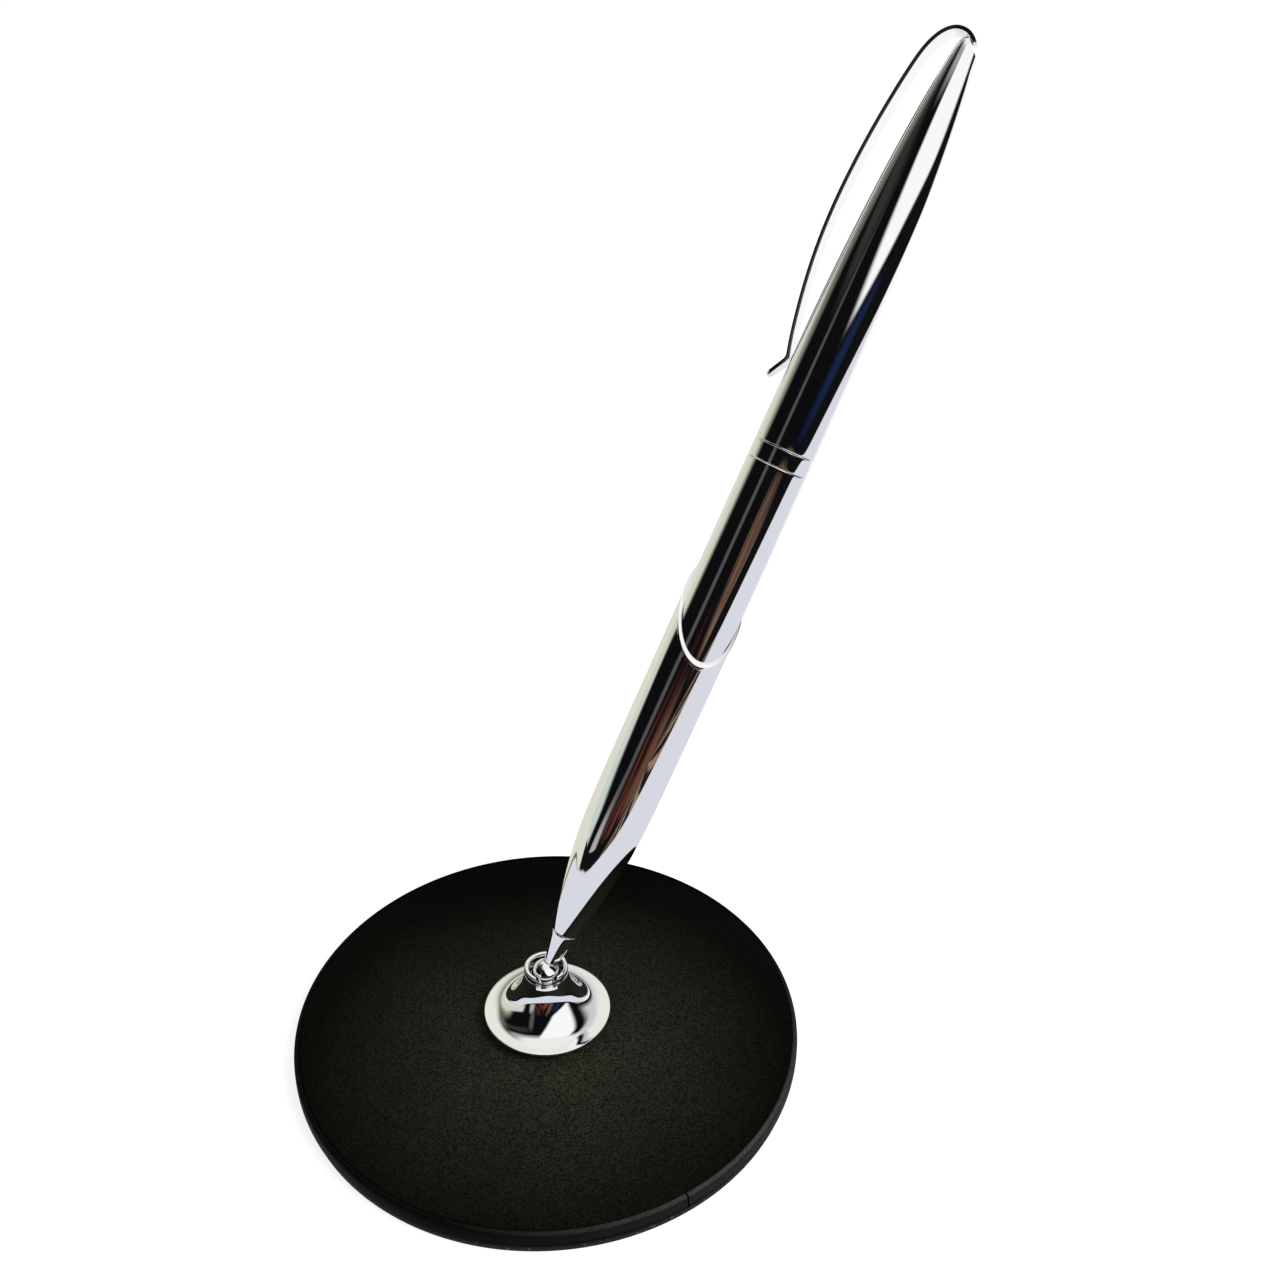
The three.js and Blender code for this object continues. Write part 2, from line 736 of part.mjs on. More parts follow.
// All that lies above a line beside the clip's bend over the pointed end.
const tailSlope = clipMiddle[1].clone().sub(clipMiddle[0]).normalize();
function overBend(distance) {
  const bend = besideClip(distance).filter((p) => p.y > UPPER_END - 1.2 && p.x < 2 * REAR_RADIUS);
  const tail = bend[0];
  const outwards = new THREE.Vector2(-tailSlope.y, tailSlope.x);
  const start = new THREE.Vector2(
    tail.x - tailSlope.x * CLIP_SEAT_GAP,
    tail.y - tailSlope.y * CLIP_SEAT_GAP,
  );
  const away = start.clone().add(outwards.multiplyScalar(REAR_RADIUS));
  const last = bend[bend.length - 1];
  return acrossClip([away, start, ...bend, new THREE.Vector2(last.x, UPPER_END + 2 * REAR_RADIUS)]);
}

// Upper barrel with its pointed end shaped to the clip's bend and open for the rivet.
const upperBody = toSolid(
  turned(
    [
      [UPPER_BORE, BAND_TOP + TURN_GAP],
      [REAR_RADIUS - EDGE_CHAMFER, BAND_TOP + TURN_GAP],
      [REAR_RADIUS, BAND_TOP + TURN_GAP + EDGE_CHAMFER],
      ...UPPER_OUTSIDE.map(([depth, r]) => [r, UPPER_END - depth]),
      [UPPER_TIP_RADIUS, UPPER_END + UPPER_TIP],
      [RIVET_RADIUS + FIT_GAP, UPPER_END + UPPER_TIP],
      [RIVET_RADIUS + FIT_GAP, UPPER_END - RIVET_HOLE_LENGTH],
      ...UPPER_INSIDE.map(([depth, r]) => [r, UPPER_END - depth]),
    ],
    PEN_FACETS,
  ),
);
const clipSeat = overBend(-CLIP_THICK / 2 - CLIP_SEAT_GAP).rotate([0, 0, CLIP_ANGLE]);
add(leaned, "upper_barrel", toGeometry(upperBody.subtract(clipSeat)), CHROME);

// Clip strip: a bent band of even thickness, narrowing to a rounded foot.
const clipBlank = acrossClip([
  ...besideClip(CLIP_THICK / 2),
  ...besideClip(-CLIP_THICK / 2).reverse(),
]);
const clipWidths = CLIP_HALF_WIDTHS.map(([half, rise]) => [half, UPPER_END + rise]);
const [footHalf, footStart] = clipWidths[0];
const clipFace = [];
for (let step = 0; step <= 10; step += 1) {
  const angle = Math.PI + (Math.PI * step) / 10;
  clipFace.push(
    new THREE.Vector2(footHalf * Math.cos(angle), footStart + 0.8 * footHalf * Math.sin(angle)),
  );
}
clipWidths.forEach(([half, s]) => clipFace.push(new THREE.Vector2(half, s)));
[...clipWidths].reverse().forEach(([half, s]) => {
  clipFace.push(new THREE.Vector2(-half, s));
});
const clipReach = 2 * Math.max(...CLIP_LINE.map(([out]) => out));
const clipPlan = toSolid(
  new THREE.ExtrudeGeometry(new THREE.Shape(clipFace), { depth: 2 * clipReach, bevelEnabled: false })
    .translate(0, 0, -clipReach)
    .rotateX(Math.PI / 2)
    .rotateZ(Math.PI / 2),
);
const eye = rod(RIVET_RADIUS + RIVET_GAP, 8 * CLIP_THICK, SMALL_FACETS)
  .rotate([90, 0, 0])
  .translate([0, 0, UPPER_END]);
const clipSolid = clipBlank
  .intersect(clipPlan)
  .subtract(eye)
  .rotate([0, 0, CLIP_ANGLE]);
add(leaned, "clip_strip", toGeometry(clipSolid), CHROME);

// Rivet through the strip's eye into the pointed end.
const rivetBlank = rod(RIVET_RADIUS, RIVET_LENGTH + 2 * UPPER_TIP + 2 * CLIP_THICK, SMALL_FACETS)
  .rotate([90, 0, 0])
  .translate([0, 0, RIVET_LOW + RIVET_LENGTH / 2 + UPPER_TIP + CLIP_THICK]);
const filedOff = overBend(CLIP_THICK / 2 - RIVET_SUNK);
const rivetSolid = rivetBlank.subtract(filedOff).rotate([0, 0, CLIP_ANGLE]);
add(leaned, "clip_rivet", toGeometry(rivetSolid), CHROME);

// Refill: point, writing ball, tube and plug.
const mouth = POINT_END + BALL_POINT_RADIUS + 0.04;
add(
  leaned,
  "refill_point",
  turned(
    [
      [0, mouth + 0.4],
      [BALL_POINT_RADIUS + FIT_GAP, mouth + 0.4],
      [BALL_POINT_RADIUS + FIT_GAP, mouth],
      [BALL_POINT_RADIUS + 0.07, mouth],
      [POINT_RADIUS, mouth + 0.5],
      [POINT_RADIUS, POINT_TAPER_LOW],
      [REFILL_RADIUS, POINT_TAPER_TOP],
      [REFILL_RADIUS, POINT_TOP],
      [REFILL_BORE - FIT_GAP, POINT_TOP],
      [REFILL_BORE - FIT_GAP, POINT_TOP + POINT_PLUG_LENGTH],
      [0, POINT_TOP + POINT_PLUG_LENGTH],
    ],
    SMALL_FACETS,
  ),
  BRASS,
);
add(
  leaned,
  "writing_ball",
  new THREE.SphereGeometry(BALL_POINT_RADIUS, 16, 10).translate(0, 0, mouth),
  STEEL,
);
add(
  leaned,
  "refill_tube",
  turned(tube(REFILL_BORE, REFILL_RADIUS, POINT_TOP + FIT_GAP, TUBE_TOP), SMALL_FACETS),
  STEEL,
);
add(
  leaned,
  "refill_plug",
  turned(
    [
      [0, TUBE_TOP - PLUG_LENGTH],
      [REFILL_BORE - FIT_GAP, TUBE_TOP - PLUG_LENGTH],
      [REFILL_BORE - FIT_GAP, TUBE_TOP + FIT_GAP],
      [REFILL_RADIUS, TUBE_TOP + FIT_GAP],
      [REFILL_RADIUS, PLUG_TOP],
      [0, PLUG_TOP],
    ],
    SMALL_FACETS,
  ),
  NYLON,
);

// Follower: grips the refill in front and runs on the spindle behind.
const grip = REFILL_RADIUS + FIT_GAP;
const screwBore = SPINDLE_RADIUS + SLIDE_GAP;
add(
  leaned,
  "follower",
  turned(
    [
      [grip, FOLLOWER_LOW],
      [FOLLOWER_RADIUS, FOLLOWER_LOW],
      [FOLLOWER_RADIUS, FOLLOWER_TOP],
      [screwBore, FOLLOWER_TOP],
      [screwBore, FOLLOWER_SCREW_END],
      [0, FOLLOWER_SCREW_END],
      [0, FOLLOWER_REFILL_END],
      [grip, FOLLOWER_REFILL_END],
    ],
    SMALL_FACETS,
  ),
  NYLON,
);
add(
  leaned,
  "guide_sleeve",
  turned(
    tube(FOLLOWER_RADIUS + SLIDE_GAP, LINER_HOLE - FIT_GAP, GUIDE_LOW, GUIDE_TOP),
    PEN_FACETS,
  ),
  BRASS,
);

// Spindle, turned by the upper barrel through the drive bush.
add(
  leaned,
  "twist_spindle",
  turned(
    [
      [0, SPINDLE_LOW],
      [SPINDLE_RADIUS - SPINDLE_ROUND, SPINDLE_LOW],
      [SPINDLE_RADIUS, SPINDLE_LOW + SPINDLE_ROUND],
      [SPINDLE_RADIUS, SPINDLE_COLLAR_LOW],
      [LINER_HOLE - SLIDE_GAP, SPINDLE_COLLAR_LOW],
      [LINER_HOLE - SLIDE_GAP, SPINDLE_COLLAR_TOP],
      [SHANK_RADIUS, SPINDLE_COLLAR_TOP],
      [SHANK_RADIUS, SHANK_TOP],
      [0, SHANK_TOP],
    ],
    PEN_FACETS,
  ),
  BRASS,
);
add(
  leaned,
  "drive_bush",
  turned(tube(SHANK_RADIUS + FIT_GAP, UPPER_BORE - FIT_GAP, BUSH_LOW, BUSH_TOP), PEN_FACETS),
  NYLON,
);
const ringSection = [];
for (let step = 0; step < 12; step += 1) {
  const angle = (2 * Math.PI * step) / 12;
  ringSection.push([
    RING_CENTRE_RADIUS + RING_THICK_RADIUS * Math.cos(angle),
    RING_MIDDLE + RING_THICK_RADIUS * Math.sin(angle),
  ]);
}
add(leaned, "friction_ring", turned(ringSection, SMALL_FACETS), RUBBER);

export default desk;
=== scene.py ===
# %% [markdown]
# # A chrome desk pen in its stand
#
# The object is a slim twist pen, polished all over, that leans in the swivel cup of a small
# trumpet-shaped stand. The stand is screwed to a round weight covered in black leather.
# The solid model is loaded first and gives every size and place. Chrome shows no colour of its
# own, only what stands round it, so the room that it mirrors gets as much care as the shapes.

import json
import math

import bpy
from mathutils import Matrix, Vector


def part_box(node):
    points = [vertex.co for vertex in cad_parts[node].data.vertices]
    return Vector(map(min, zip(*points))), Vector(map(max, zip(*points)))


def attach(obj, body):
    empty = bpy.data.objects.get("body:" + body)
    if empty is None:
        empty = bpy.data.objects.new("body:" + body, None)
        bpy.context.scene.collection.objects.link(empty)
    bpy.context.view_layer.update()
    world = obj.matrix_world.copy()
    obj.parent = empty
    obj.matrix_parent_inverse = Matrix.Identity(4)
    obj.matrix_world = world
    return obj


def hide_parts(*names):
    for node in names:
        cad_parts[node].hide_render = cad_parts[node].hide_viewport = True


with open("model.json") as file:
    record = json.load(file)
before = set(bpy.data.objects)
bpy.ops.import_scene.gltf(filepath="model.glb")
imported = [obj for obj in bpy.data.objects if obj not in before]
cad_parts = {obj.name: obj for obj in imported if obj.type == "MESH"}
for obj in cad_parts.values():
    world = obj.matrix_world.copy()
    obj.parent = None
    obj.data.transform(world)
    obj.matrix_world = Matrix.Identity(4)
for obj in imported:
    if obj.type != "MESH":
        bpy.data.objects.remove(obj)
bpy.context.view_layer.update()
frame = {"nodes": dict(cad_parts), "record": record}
MM = 0.001

# %% [markdown]
# ## The camera
#
# A camera can be guessed by eye, or worked out from shapes whose real form is known. The rim of
# the base is a circle, so its ellipse in the picture gives the tilt and the distance. The view is
# close, with strong perspective: the lens stands less than a quarter of a metre from the pen.

# %% Camera
CAMERA_BACK = 161.64
CAMERA_UP = 172.6
lens = bpy.data.cameras.new("camera")
lens.lens = 39.375
lens.sensor_width = 36.0
lens.clip_start = 0.01
camera = bpy.data.objects.new("camera", lens)
bpy.context.scene.collection.objects.link(camera)
bpy.context.scene.camera = camera
rightward = Vector((0.99648, -0.08347, 0.00783)).normalized()
backward = Vector((-0.07543, -0.85189, 0.51826)).normalized()
upward = backward.cross(rightward).normalized()
rightward = upward.cross(backward)
turn = Matrix((rightward, upward, backward)).transposed().to_4x4()
camera.matrix_world = Matrix.Translation((0, -CAMERA_BACK * MM, CAMERA_UP * MM)) @ turn
print("camera at", [round(c, 4) for c in camera.location])

# %% [markdown]
# ## Small helpers for modelling
#
# Every modelling operator works on whatever is selected, so each step starts by clearing the
# selection. Most pieces here are turned on a lathe. A lathe piece can be spun from a drawn line,
# or stacked ring by ring from a circle. Stacking is used, because each ring is a size that can
# be read off the real piece, and a Subdivision Surface then runs a smooth skin through the rings.

# %% Helpers for selecting and editing
scene = bpy.context.scene
scene.view_settings.view_transform = "Standard"


def only(piece):
    """Leaves this object selected and active, and nothing else."""
    for other in bpy.context.selected_objects:
        other.select_set(False)
    if piece is not None:
        piece.select_set(True)
    bpy.context.view_layer.objects.active = piece


def editing(piece):
    """Opens a piece in edit mode with everything on it selected."""
    only(piece)
    bpy.ops.object.mode_set(mode="EDIT")
    bpy.ops.mesh.select_all(action="SELECT")


def done():
    bpy.ops.object.mode_set(mode="OBJECT")


def add_modifier(piece, kind, **settings):
    """Adds a modifier, sets it and applies it."""
    only(piece)
    modifier = piece.modifiers.new(kind.lower(), kind)
    for key, value in settings.items():
        setattr(modifier, key, value)
    bpy.ops.object.modifier_apply(modifier=modifier.name)


print("render view:", scene.view_settings.view_transform)

# %% [markdown]
# A corner that should stay crisp under a Subdivision Surface needs more rings close to it. The
# next helper looks round a section and sets a ring on each side of every corner.

# %% Rings beside every corner
def with_edges(section, edge, sharpest=25):
    """Adds a point on each side of every corner of a closed section of (radius, height)."""
    out = []
    for i, here in enumerate(section):
        p = Vector(here)
        before = p - Vector(section[i - 1])
        after = Vector(section[(i + 1) % len(section)]) - p
        if before.angle(after) < math.radians(sharpest):
            out.append(tuple(p))
            continue
        near = min(edge, before.length / 3)
        far = min(edge, after.length / 3)
        out += [tuple(p - before.normalized() * near), tuple(p)]
        out.append(tuple(p + after.normalized() * far))
    return out


print("a square section gets", len(with_edges([(1, 0), (2, 0), (2, 1), (1, 1)], 0.1)), "rings")

# %% [markdown]
# Now the lathe itself. Each ring is extruded straight up from the last one and scaled to its
# radius. At the end the last ring is bridged to the first, so that the tube is closed and has
# no pole, where a shading pinch would show in polished metal.

# %% Turn a piece from its section
def turned(name, section, sides=64, levels=2, edge=0.06):
    """Stacks rings round an upright axis, joins the last to the first and smooths the skin."""
    rings = with_edges(section, edge)
    # The smooth skin lies a little inside a ring of straight sides, so the rings start larger.
    fuller = 3 / (2 + math.cos(2 * math.pi / sides))
    only(None)
    radius, height = rings[0]
    bpy.ops.mesh.primitive_circle_add(
        vertices=sides, radius=radius * fuller * MM, location=(0, 0, height * MM)
    )
    piece = bpy.context.object
    piece.name = piece.data.name = name
    editing(piece)
    for next_radius, next_height in rings[1:]:
        rise = (next_height - height) * MM
        bpy.ops.mesh.extrude_region_move(TRANSFORM_OT_translate={"value": (0, 0, rise)})
        grow = next_radius / radius
        bpy.ops.transform.resize(value=(grow, grow, 1))
        radius, height = next_radius, next_height
    bpy.ops.mesh.select_all(action="DESELECT")
    bpy.ops.mesh.select_mode(type="EDGE")
    bpy.ops.mesh.select_non_manifold()
    bpy.ops.mesh.bridge_edge_loops()
    bpy.ops.mesh.select_all(action="SELECT")
    bpy.ops.mesh.normals_make_consistent(inside=False)
    done()
    bpy.ops.object.transform_apply(location=True, rotation=True, scale=True)
    add_modifier(piece, "SUBSURF", levels=levels, render_levels=levels)
    return piece


# %% [markdown]
# ## The floor and the room
#
# The object stands on a plain white surface that runs to white all round. A cyclorama could be
# built, but a large flat floor under a white sky does the same. Camera rays see white there,
# while other rays light the object at a plain level.

# %% Floor
FLOOR_SIZE = 8.0
only(None)
bpy.ops.mesh.primitive_plane_add(size=FLOOR_SIZE, location=(0, 0, 0))
floor = bpy.context.object
floor.name = floor.data.name = "studio_floor"
print("floor", FLOOR_SIZE, "m wide")

# %% [markdown]
# A material in Blender is a small graph of nodes. Each could be clicked together by hand, but
# written out link by link it would fill pages. A few short helpers make a node, do a sum, ease
# between two limits and mix two colours, and every finish below is built from them.

# %% Shader helpers
def new_material(name):
    material = bpy.data.materials.new(name)
    material.use_nodes = True
    material.node_tree.nodes.clear()
    return material, material.node_tree


def node(tree, kind, inputs=None, **settings):
    """A shader node with its settings and inputs; an input is a number, a colour or a socket."""
    made = tree.nodes.new(kind)
    for key, value in settings.items():
        setattr(made, key, value)
    for key, value in (inputs or {}).items():
        socket = made.inputs[key]
        if isinstance(value, bpy.types.NodeSocket):
            tree.links.new(value, socket)
        else:
            socket.default_value = value
    return made


def calc(tree, operation, a, b=0.0, c=0.0):
    return node(tree, "ShaderNodeMath", {0: a, 1: b, 2: c}, operation=operation).outputs[0]


def ease(tree, value, low, high):
    """0 where value is at low, 1 where it is at high, with a soft curve between."""
    inputs = {"Value": value, "From Min": low, "From Max": high}
    return node(tree, "ShaderNodeMapRange", inputs, interpolation_type="SMOOTHSTEP").outputs[0]


def blend(tree, amount, first, second):
    """A mix of two colours."""
    made = node(tree, "ShaderNodeMix", data_type="RGBA")
    for index, value in ((0, amount), (6, first), (7, second)):
        if isinstance(value, bpy.types.NodeSocket):
            tree.links.new(value, made.inputs[index])
        else:
            made.inputs[index].default_value = value
    return made.outputs[2]


def rgb(r, g, b):
    return (r, g, b, 1)


def path_ray(tree, kind):
    """1 for rays of this kind, 0 for others."""
    return node(tree, "ShaderNodeLightPath").outputs[kind]


# %% [markdown]
# Polished metal close above the floor would show where a photographer's sheet ends and what lies
# beyond, so mirror rays get those edges: the sheet, the darker table round it and some warm
# streaks in front. They are painted by place on the floor rather than built, because nothing
# else ever sees them.

# %% Floor as mirrors see it
material, tree = new_material("studio_floor_white")
where = node(tree, "ShaderNodeTexCoord").outputs["Object"]
x, y, _ = node(tree, "ShaderNodeSeparateXYZ", {"Vector": where}).outputs
x = calc(tree, "MULTIPLY", x, 1000.0)
y = calc(tree, "MULTIPLY", y, 1000.0)


def across_floor(*limits):
    """A mask on the floor in mm, from (value, where it is 0, where it is 1) triples."""
    whole = 1.0
    for value, empty, full in limits:
        whole = calc(tree, "MULTIPLY", whole, ease(tree, value, empty, full))
    return whole


# The table top's surroundings, as polished metal shows them: dark, with warm streaks in front.
surround = rgb(0.006, 0.006, 0.006)
streak = node(
    tree, "ShaderNodeTexWave", {"Vector": where, "Scale": 7.0, "Distortion": 1.5, "Detail": 1.0}
)
streaks = ease(tree, streak.outputs[1], 0.45, 0.75)
warm = blend(tree, streaks, rgb(0.012, 0.008, 0.007), rgb(0.30, 0.20, 0.14))
in_front = across_floor((x, -110, -80), (x, 230, 190), (y, -200, -240))
surround = blend(tree, in_front, surround, warm)
far_right = across_floor((y, 235, 300))
surround = blend(tree, far_right, surround, rgb(0.55, 0.55, 0.56))
# The white sheet under the object, brighter at the back right, and the paler table on the left.
sheet = across_floor((y, -232, -208), (x, 352, 325), (x, -440, -400))
bright_back = across_floor((y, 60, 140), (x, 60, 130))
white_sheet = blend(tree, bright_back, rgb(0.72, 0.73, 0.80), rgb(1.0, 1.0, 1.0))
surround = blend(tree, sheet, surround, white_sheet)
surround = blend(tree, across_floor((y, 250, 330), (x, 300, 360)), surround, rgb(1.0, 1.0, 1.0))
from_middle = calc(tree, "ADD", x, 110.0)
bow = calc(tree, "MULTIPLY", calc(tree, "MULTIPLY", from_middle, from_middle), 0.003)
beyond = calc(tree, "SUBTRACT", calc(tree, "ADD", y, bow), 62.0)
left_back = across_floor((beyond, -3, 3), (x, 5, -15))
surround = blend(tree, left_back, surround, rgb(0.74, 0.75, 0.64))
edge_line = across_floor((calc(tree, "ABSOLUTE", beyond), 5, 2), (x, -5, -15))
surround = blend(tree, edge_line, surround, rgb(0.22, 0.15, 0.10))
dark_corner = across_floor((x, -330, -380), (y, -60, -110))
surround = blend(tree, dark_corner, surround, rgb(0.006, 0.006, 0.006))
print("mirrored floor:", len(tree.nodes), "nodes")

# %% [markdown]
# To lamps the floor is matt and middling bright, so it throws soft light up under the base. To
# the camera and through clear pieces it glows a little as well, which lifts it to plain white.

# %% Floor material
FLOOR_ALBEDO = 0.5
matt = node(tree, "ShaderNodeBsdfDiffuse", {"Color": rgb(*[FLOOR_ALBEDO] * 3)})
plain = calc(tree, "MAXIMUM", path_ray(tree, "Is Camera Ray"), path_ray(tree, "Is Transmission Ray"))
glow = node(tree, "ShaderNodeEmission", {"Color": rgb(0.76, 0.76, 0.76), "Strength": plain})
both = node(tree, "ShaderNodeAddShader", {0: matt.outputs[0], 1: glow.outputs[0]})
mirrored = node(tree, "ShaderNodeEmission", {"Color": surround, "Strength": 1.0})
shown = node(
    tree,
    "ShaderNodeMixShader",
    {0: path_ray(tree, "Is Glossy Ray"), 1: both.outputs[0], 2: mirrored.outputs[0]},
)
node(tree, "ShaderNodeOutputMaterial", {"Surface": shown.outputs[0]})
floor.data.materials.append(material)
print("floor finish:", len(tree.nodes), "nodes")

# %% [markdown]
# The room that the chrome mirrors is painted on the sky, for mirror rays only. Cards and lamps
# could stand round the set, but a sky is simpler to place by direction. `round_about` is 0
# towards the camera and grows to the right, and `height` is the angle above the table. There is
# a big soft window high on the right, a dim room behind the camera, something warm and brown
# low in the middle, a navy strip low on the right and pale walls at the far left and behind.

# %% Directions on the sky
world = bpy.data.worlds.new("studio")
scene.world = world
world.use_nodes = True
sky = world.node_tree
sky.nodes.clear()
look = node(sky, "ShaderNodeTexCoord").outputs["Generated"]
split = node(sky, "ShaderNodeSeparateXYZ", {"Vector": look})
east, north, up = split.outputs
towards = calc(sky, "MULTIPLY", north, -1.0)
round_about = calc(sky, "DEGREES", calc(sky, "ARCTAN2", east, towards))
height = calc(sky, "DEGREES", calc(sky, "ARCSINE", up))


def sloping(slope):
    """Height plus a share of the way round, whose zero line slopes down to the right."""
    return calc(sky, "MULTIPLY_ADD", round_about, slope, height)


def both_of(*masks):
    whole = masks[0]
    for mask in masks[1:]:
        whole = calc(sky, "MULTIPLY", whole, mask)
    return whole


def spot(centre, size, soft=0.45, turn=0.0):
    """A soft oval patch of sky, its size given as half-widths in degrees."""
    c, s = math.cos(math.radians(turn)), math.sin(math.radians(turn))
    dx = calc(sky, "SUBTRACT", round_about, centre[0])
    dy = calc(sky, "SUBTRACT", height, centre[1])
    u = calc(sky, "MULTIPLY_ADD", dx, c / size[0], calc(sky, "MULTIPLY", dy, s / size[0]))
    v = calc(sky, "MULTIPLY_ADD", dy, c / size[1], calc(sky, "MULTIPLY", dx, -s / size[1]))
    squares = calc(sky, "MULTIPLY_ADD", u, u, calc(sky, "MULTIPLY", v, v))
    away = calc(sky, "SQRT", squares)
    return ease(sky, away, 1 + soft, 1 - soft)


print("directions:", len(sky.nodes), "nodes")

# %% [markdown]
# The patches are laid over each other like paint, the dim ones first. A patch on the sky can
# follow a straight edge, a sloping one or a soft oval, and a loose noise breaks up the brown
# ones, since no real wall of things has one even colour.

# %% Paint the dim side of the room
room = rgb(0.004, 0.004, 0.005)
# Faint bands across the dim wall, and a lighter doorway.
band = both_of(
    ease(sky, height, 34, 40),
    ease(sky, height, 52, 44),
    ease(sky, round_about, -40, -70),
)
room = blend(sky, calc(sky, "MULTIPLY", band, 0.9), room, rgb(0.035, 0.036, 0.03))
room = blend(sky, spot((-47, 22), (6, 19), 0.5), room, rgb(0.085, 0.085, 0.083))
room = blend(sky, spot((-53, 0), (8, 10), 0.4), room, rgb(0.42, 0.42, 0.43))
# Warm things low in the middle.
clutter = node(sky, "ShaderNodeTexNoise", {"Vector": look, "Scale": 9.0, "Detail": 3.0}).outputs[0]
clutter = ease(sky, clutter, 0.40, 0.62)
dark_red = blend(sky, clutter, rgb(0.012, 0.007, 0.006), rgb(0.115, 0.032, 0.022))
room = blend(sky, spot((-26, 5), (14, 9), 0.4), room, dark_red)
tan = blend(sky, clutter, rgb(0.10, 0.055, 0.035), rgb(0.27, 0.17, 0.12))
room = blend(sky, spot((9, 6), (15, 3.6), 0.5, -32), room, tan)
room = blend(sky, spot((-6, 2), (9, 4), 0.5, -20), room, rgb(0.13, 0.060, 0.042))
# A navy strip low on the right.
room = blend(sky, spot((38, 2.5), (22, 3.4), 0.5, -22), room, rgb(0.010, 0.018, 0.062))
# A grey ceiling edge above the dim wall, which only the hollow of the stand mirrors.
cornice = both_of(
    ease(sky, height, 53, 60),
    ease(sky, round_about, 2, -10),
    ease(sky, round_about, -150, -120),
)
room = blend(sky, cornice, room, rgb(0.34, 0.34, 0.345))
print("dim side:", len(sky.nodes), "nodes")

# %% [markdown]
# The bright parts come last and lie over the dim ones. The window matters most: its sloping lower
# edge gives the long white blade on the barrel, so it is bounded by two slanted lines and one
# upright one. A softbox shape would show as a plain stripe.

# %% Paint the walls and the window
teal = both_of(ease(sky, round_about, -74, -84), ease(sky, height, 10, 6))
room = blend(sky, teal, room, rgb(0.60, 0.67, 0.61))
cream = both_of(ease(sky, round_about, -100, -122), ease(sky, height, 30, 6))
room = blend(sky, cream, room, rgb(0.68, 0.66, 0.54))
dim_wall = both_of(
    ease(sky, round_about, -108, -128),
    ease(sky, height, 8, 24),
    ease(sky, height, 62, 40),
)
room = blend(sky, dim_wall, room, rgb(0.13, 0.13, 0.105))
# The window.
window = both_of(
    ease(sky, sloping(1.075), 27, 38),
    ease(sky, sloping(0.314), 20, 23),
    ease(sky, round_about, 80, 64),
)
room = blend(sky, window, room, rgb(1.0, 1.0, 1.0))
# Pale walls and ceiling behind and above.
behind = ease(sky, calc(sky, "ABSOLUTE", round_about), 128, 150)
behind = both_of(behind, ease(sky, height, 12, 40))
right_wall = both_of(ease(sky, round_about, 92, 118), ease(sky, height, 2, 14))
overhead = ease(sky, height, 60, 72)
room = blend(sky, right_wall, room, rgb(0.62, 0.62, 0.62))
room = blend(sky, behind, room, rgb(0.86, 0.84, 0.76))
room = blend(sky, overhead, room, rgb(0.90, 0.89, 0.84))
print("whole room:", len(sky.nodes), "nodes")

# %% [markdown]
# One sky serves three kinds of ray. Mirror rays get the painted room, the camera and clear
# pieces get plain white, and every other ray gets an even grey that lights the scene softly.

# %% Sky as camera, mirror and light rays see it
path = node(sky, "ShaderNodeLightPath")
soft_light = rgb(0.45, 0.45, 0.45)
shown = blend(sky, path.outputs["Is Glossy Ray"], soft_light, room)
clear = calc(sky, "MAXIMUM", path.outputs["Is Camera Ray"], path.outputs["Is Transmission Ray"])
shown = blend(sky, clear, shown, rgb(1, 1, 1))
background = node(sky, "ShaderNodeBackground", {"Color": shown, "Strength": 1.0})
node(sky, "ShaderNodeOutputWorld", {"Surface": background.outputs[0]})
print("soft light level:", soft_light[0])

# %% [markdown]
# One broad, weak lamp high on the right stands for the window. It gives the base a soft side
# and a light contact shadow. It is hidden from mirror rays, because the sky already shows it.

# %% Lamp
window_lamp = bpy.data.lights.new("window_lamp", "AREA")
window_lamp.size = 0.5
window_lamp.energy = 6.0
lamp = bpy.data.objects.new("window_lamp", window_lamp)
scene.collection.objects.link(lamp)
lamp.location = (0.55, -0.45, 0.75)
lamp.rotation_euler = (-lamp.location).to_track_quat("-Z", "Y").to_euler()
lamp.visible_glossy = False
print("lamp", round(lamp.location.length, 2), "m away,", window_lamp.energy, "W")

# %% [markdown]
# ## Finishes
#
# Each finish is procedural and reads Object coordinates, so a pattern stays put when a piece
# moves. Chrome is nearly a perfect mirror: what makes it look real is a slight change of gloss
# where it has been handled. Leather needs a fine grain, a deeper wrinkle and small gloss changes.

# %% Chrome
def principled(tree, **inputs):
    named = {key.replace("_", " "): value for key, value in inputs.items()}
    shader = node(tree, "ShaderNodeBsdfPrincipled", named)
    node(tree, "ShaderNodeOutputMaterial", {"Surface": shader.outputs[0]})
    return shader


def noise(tree, where, scale, detail=3.0, roughness=0.5):
    inputs = {"Vector": where, "Scale": scale, "Detail": detail, "Roughness": roughness}
    return node(tree, "ShaderNodeTexNoise", inputs).outputs[0]


def spread(tree, value, low, high, to_low, to_high):
    inputs = {"Value": value, "From Min": low, "From Max": high, "To Min": to_low, "To Max": to_high}
    return node(tree, "ShaderNodeMapRange", inputs).outputs[0]


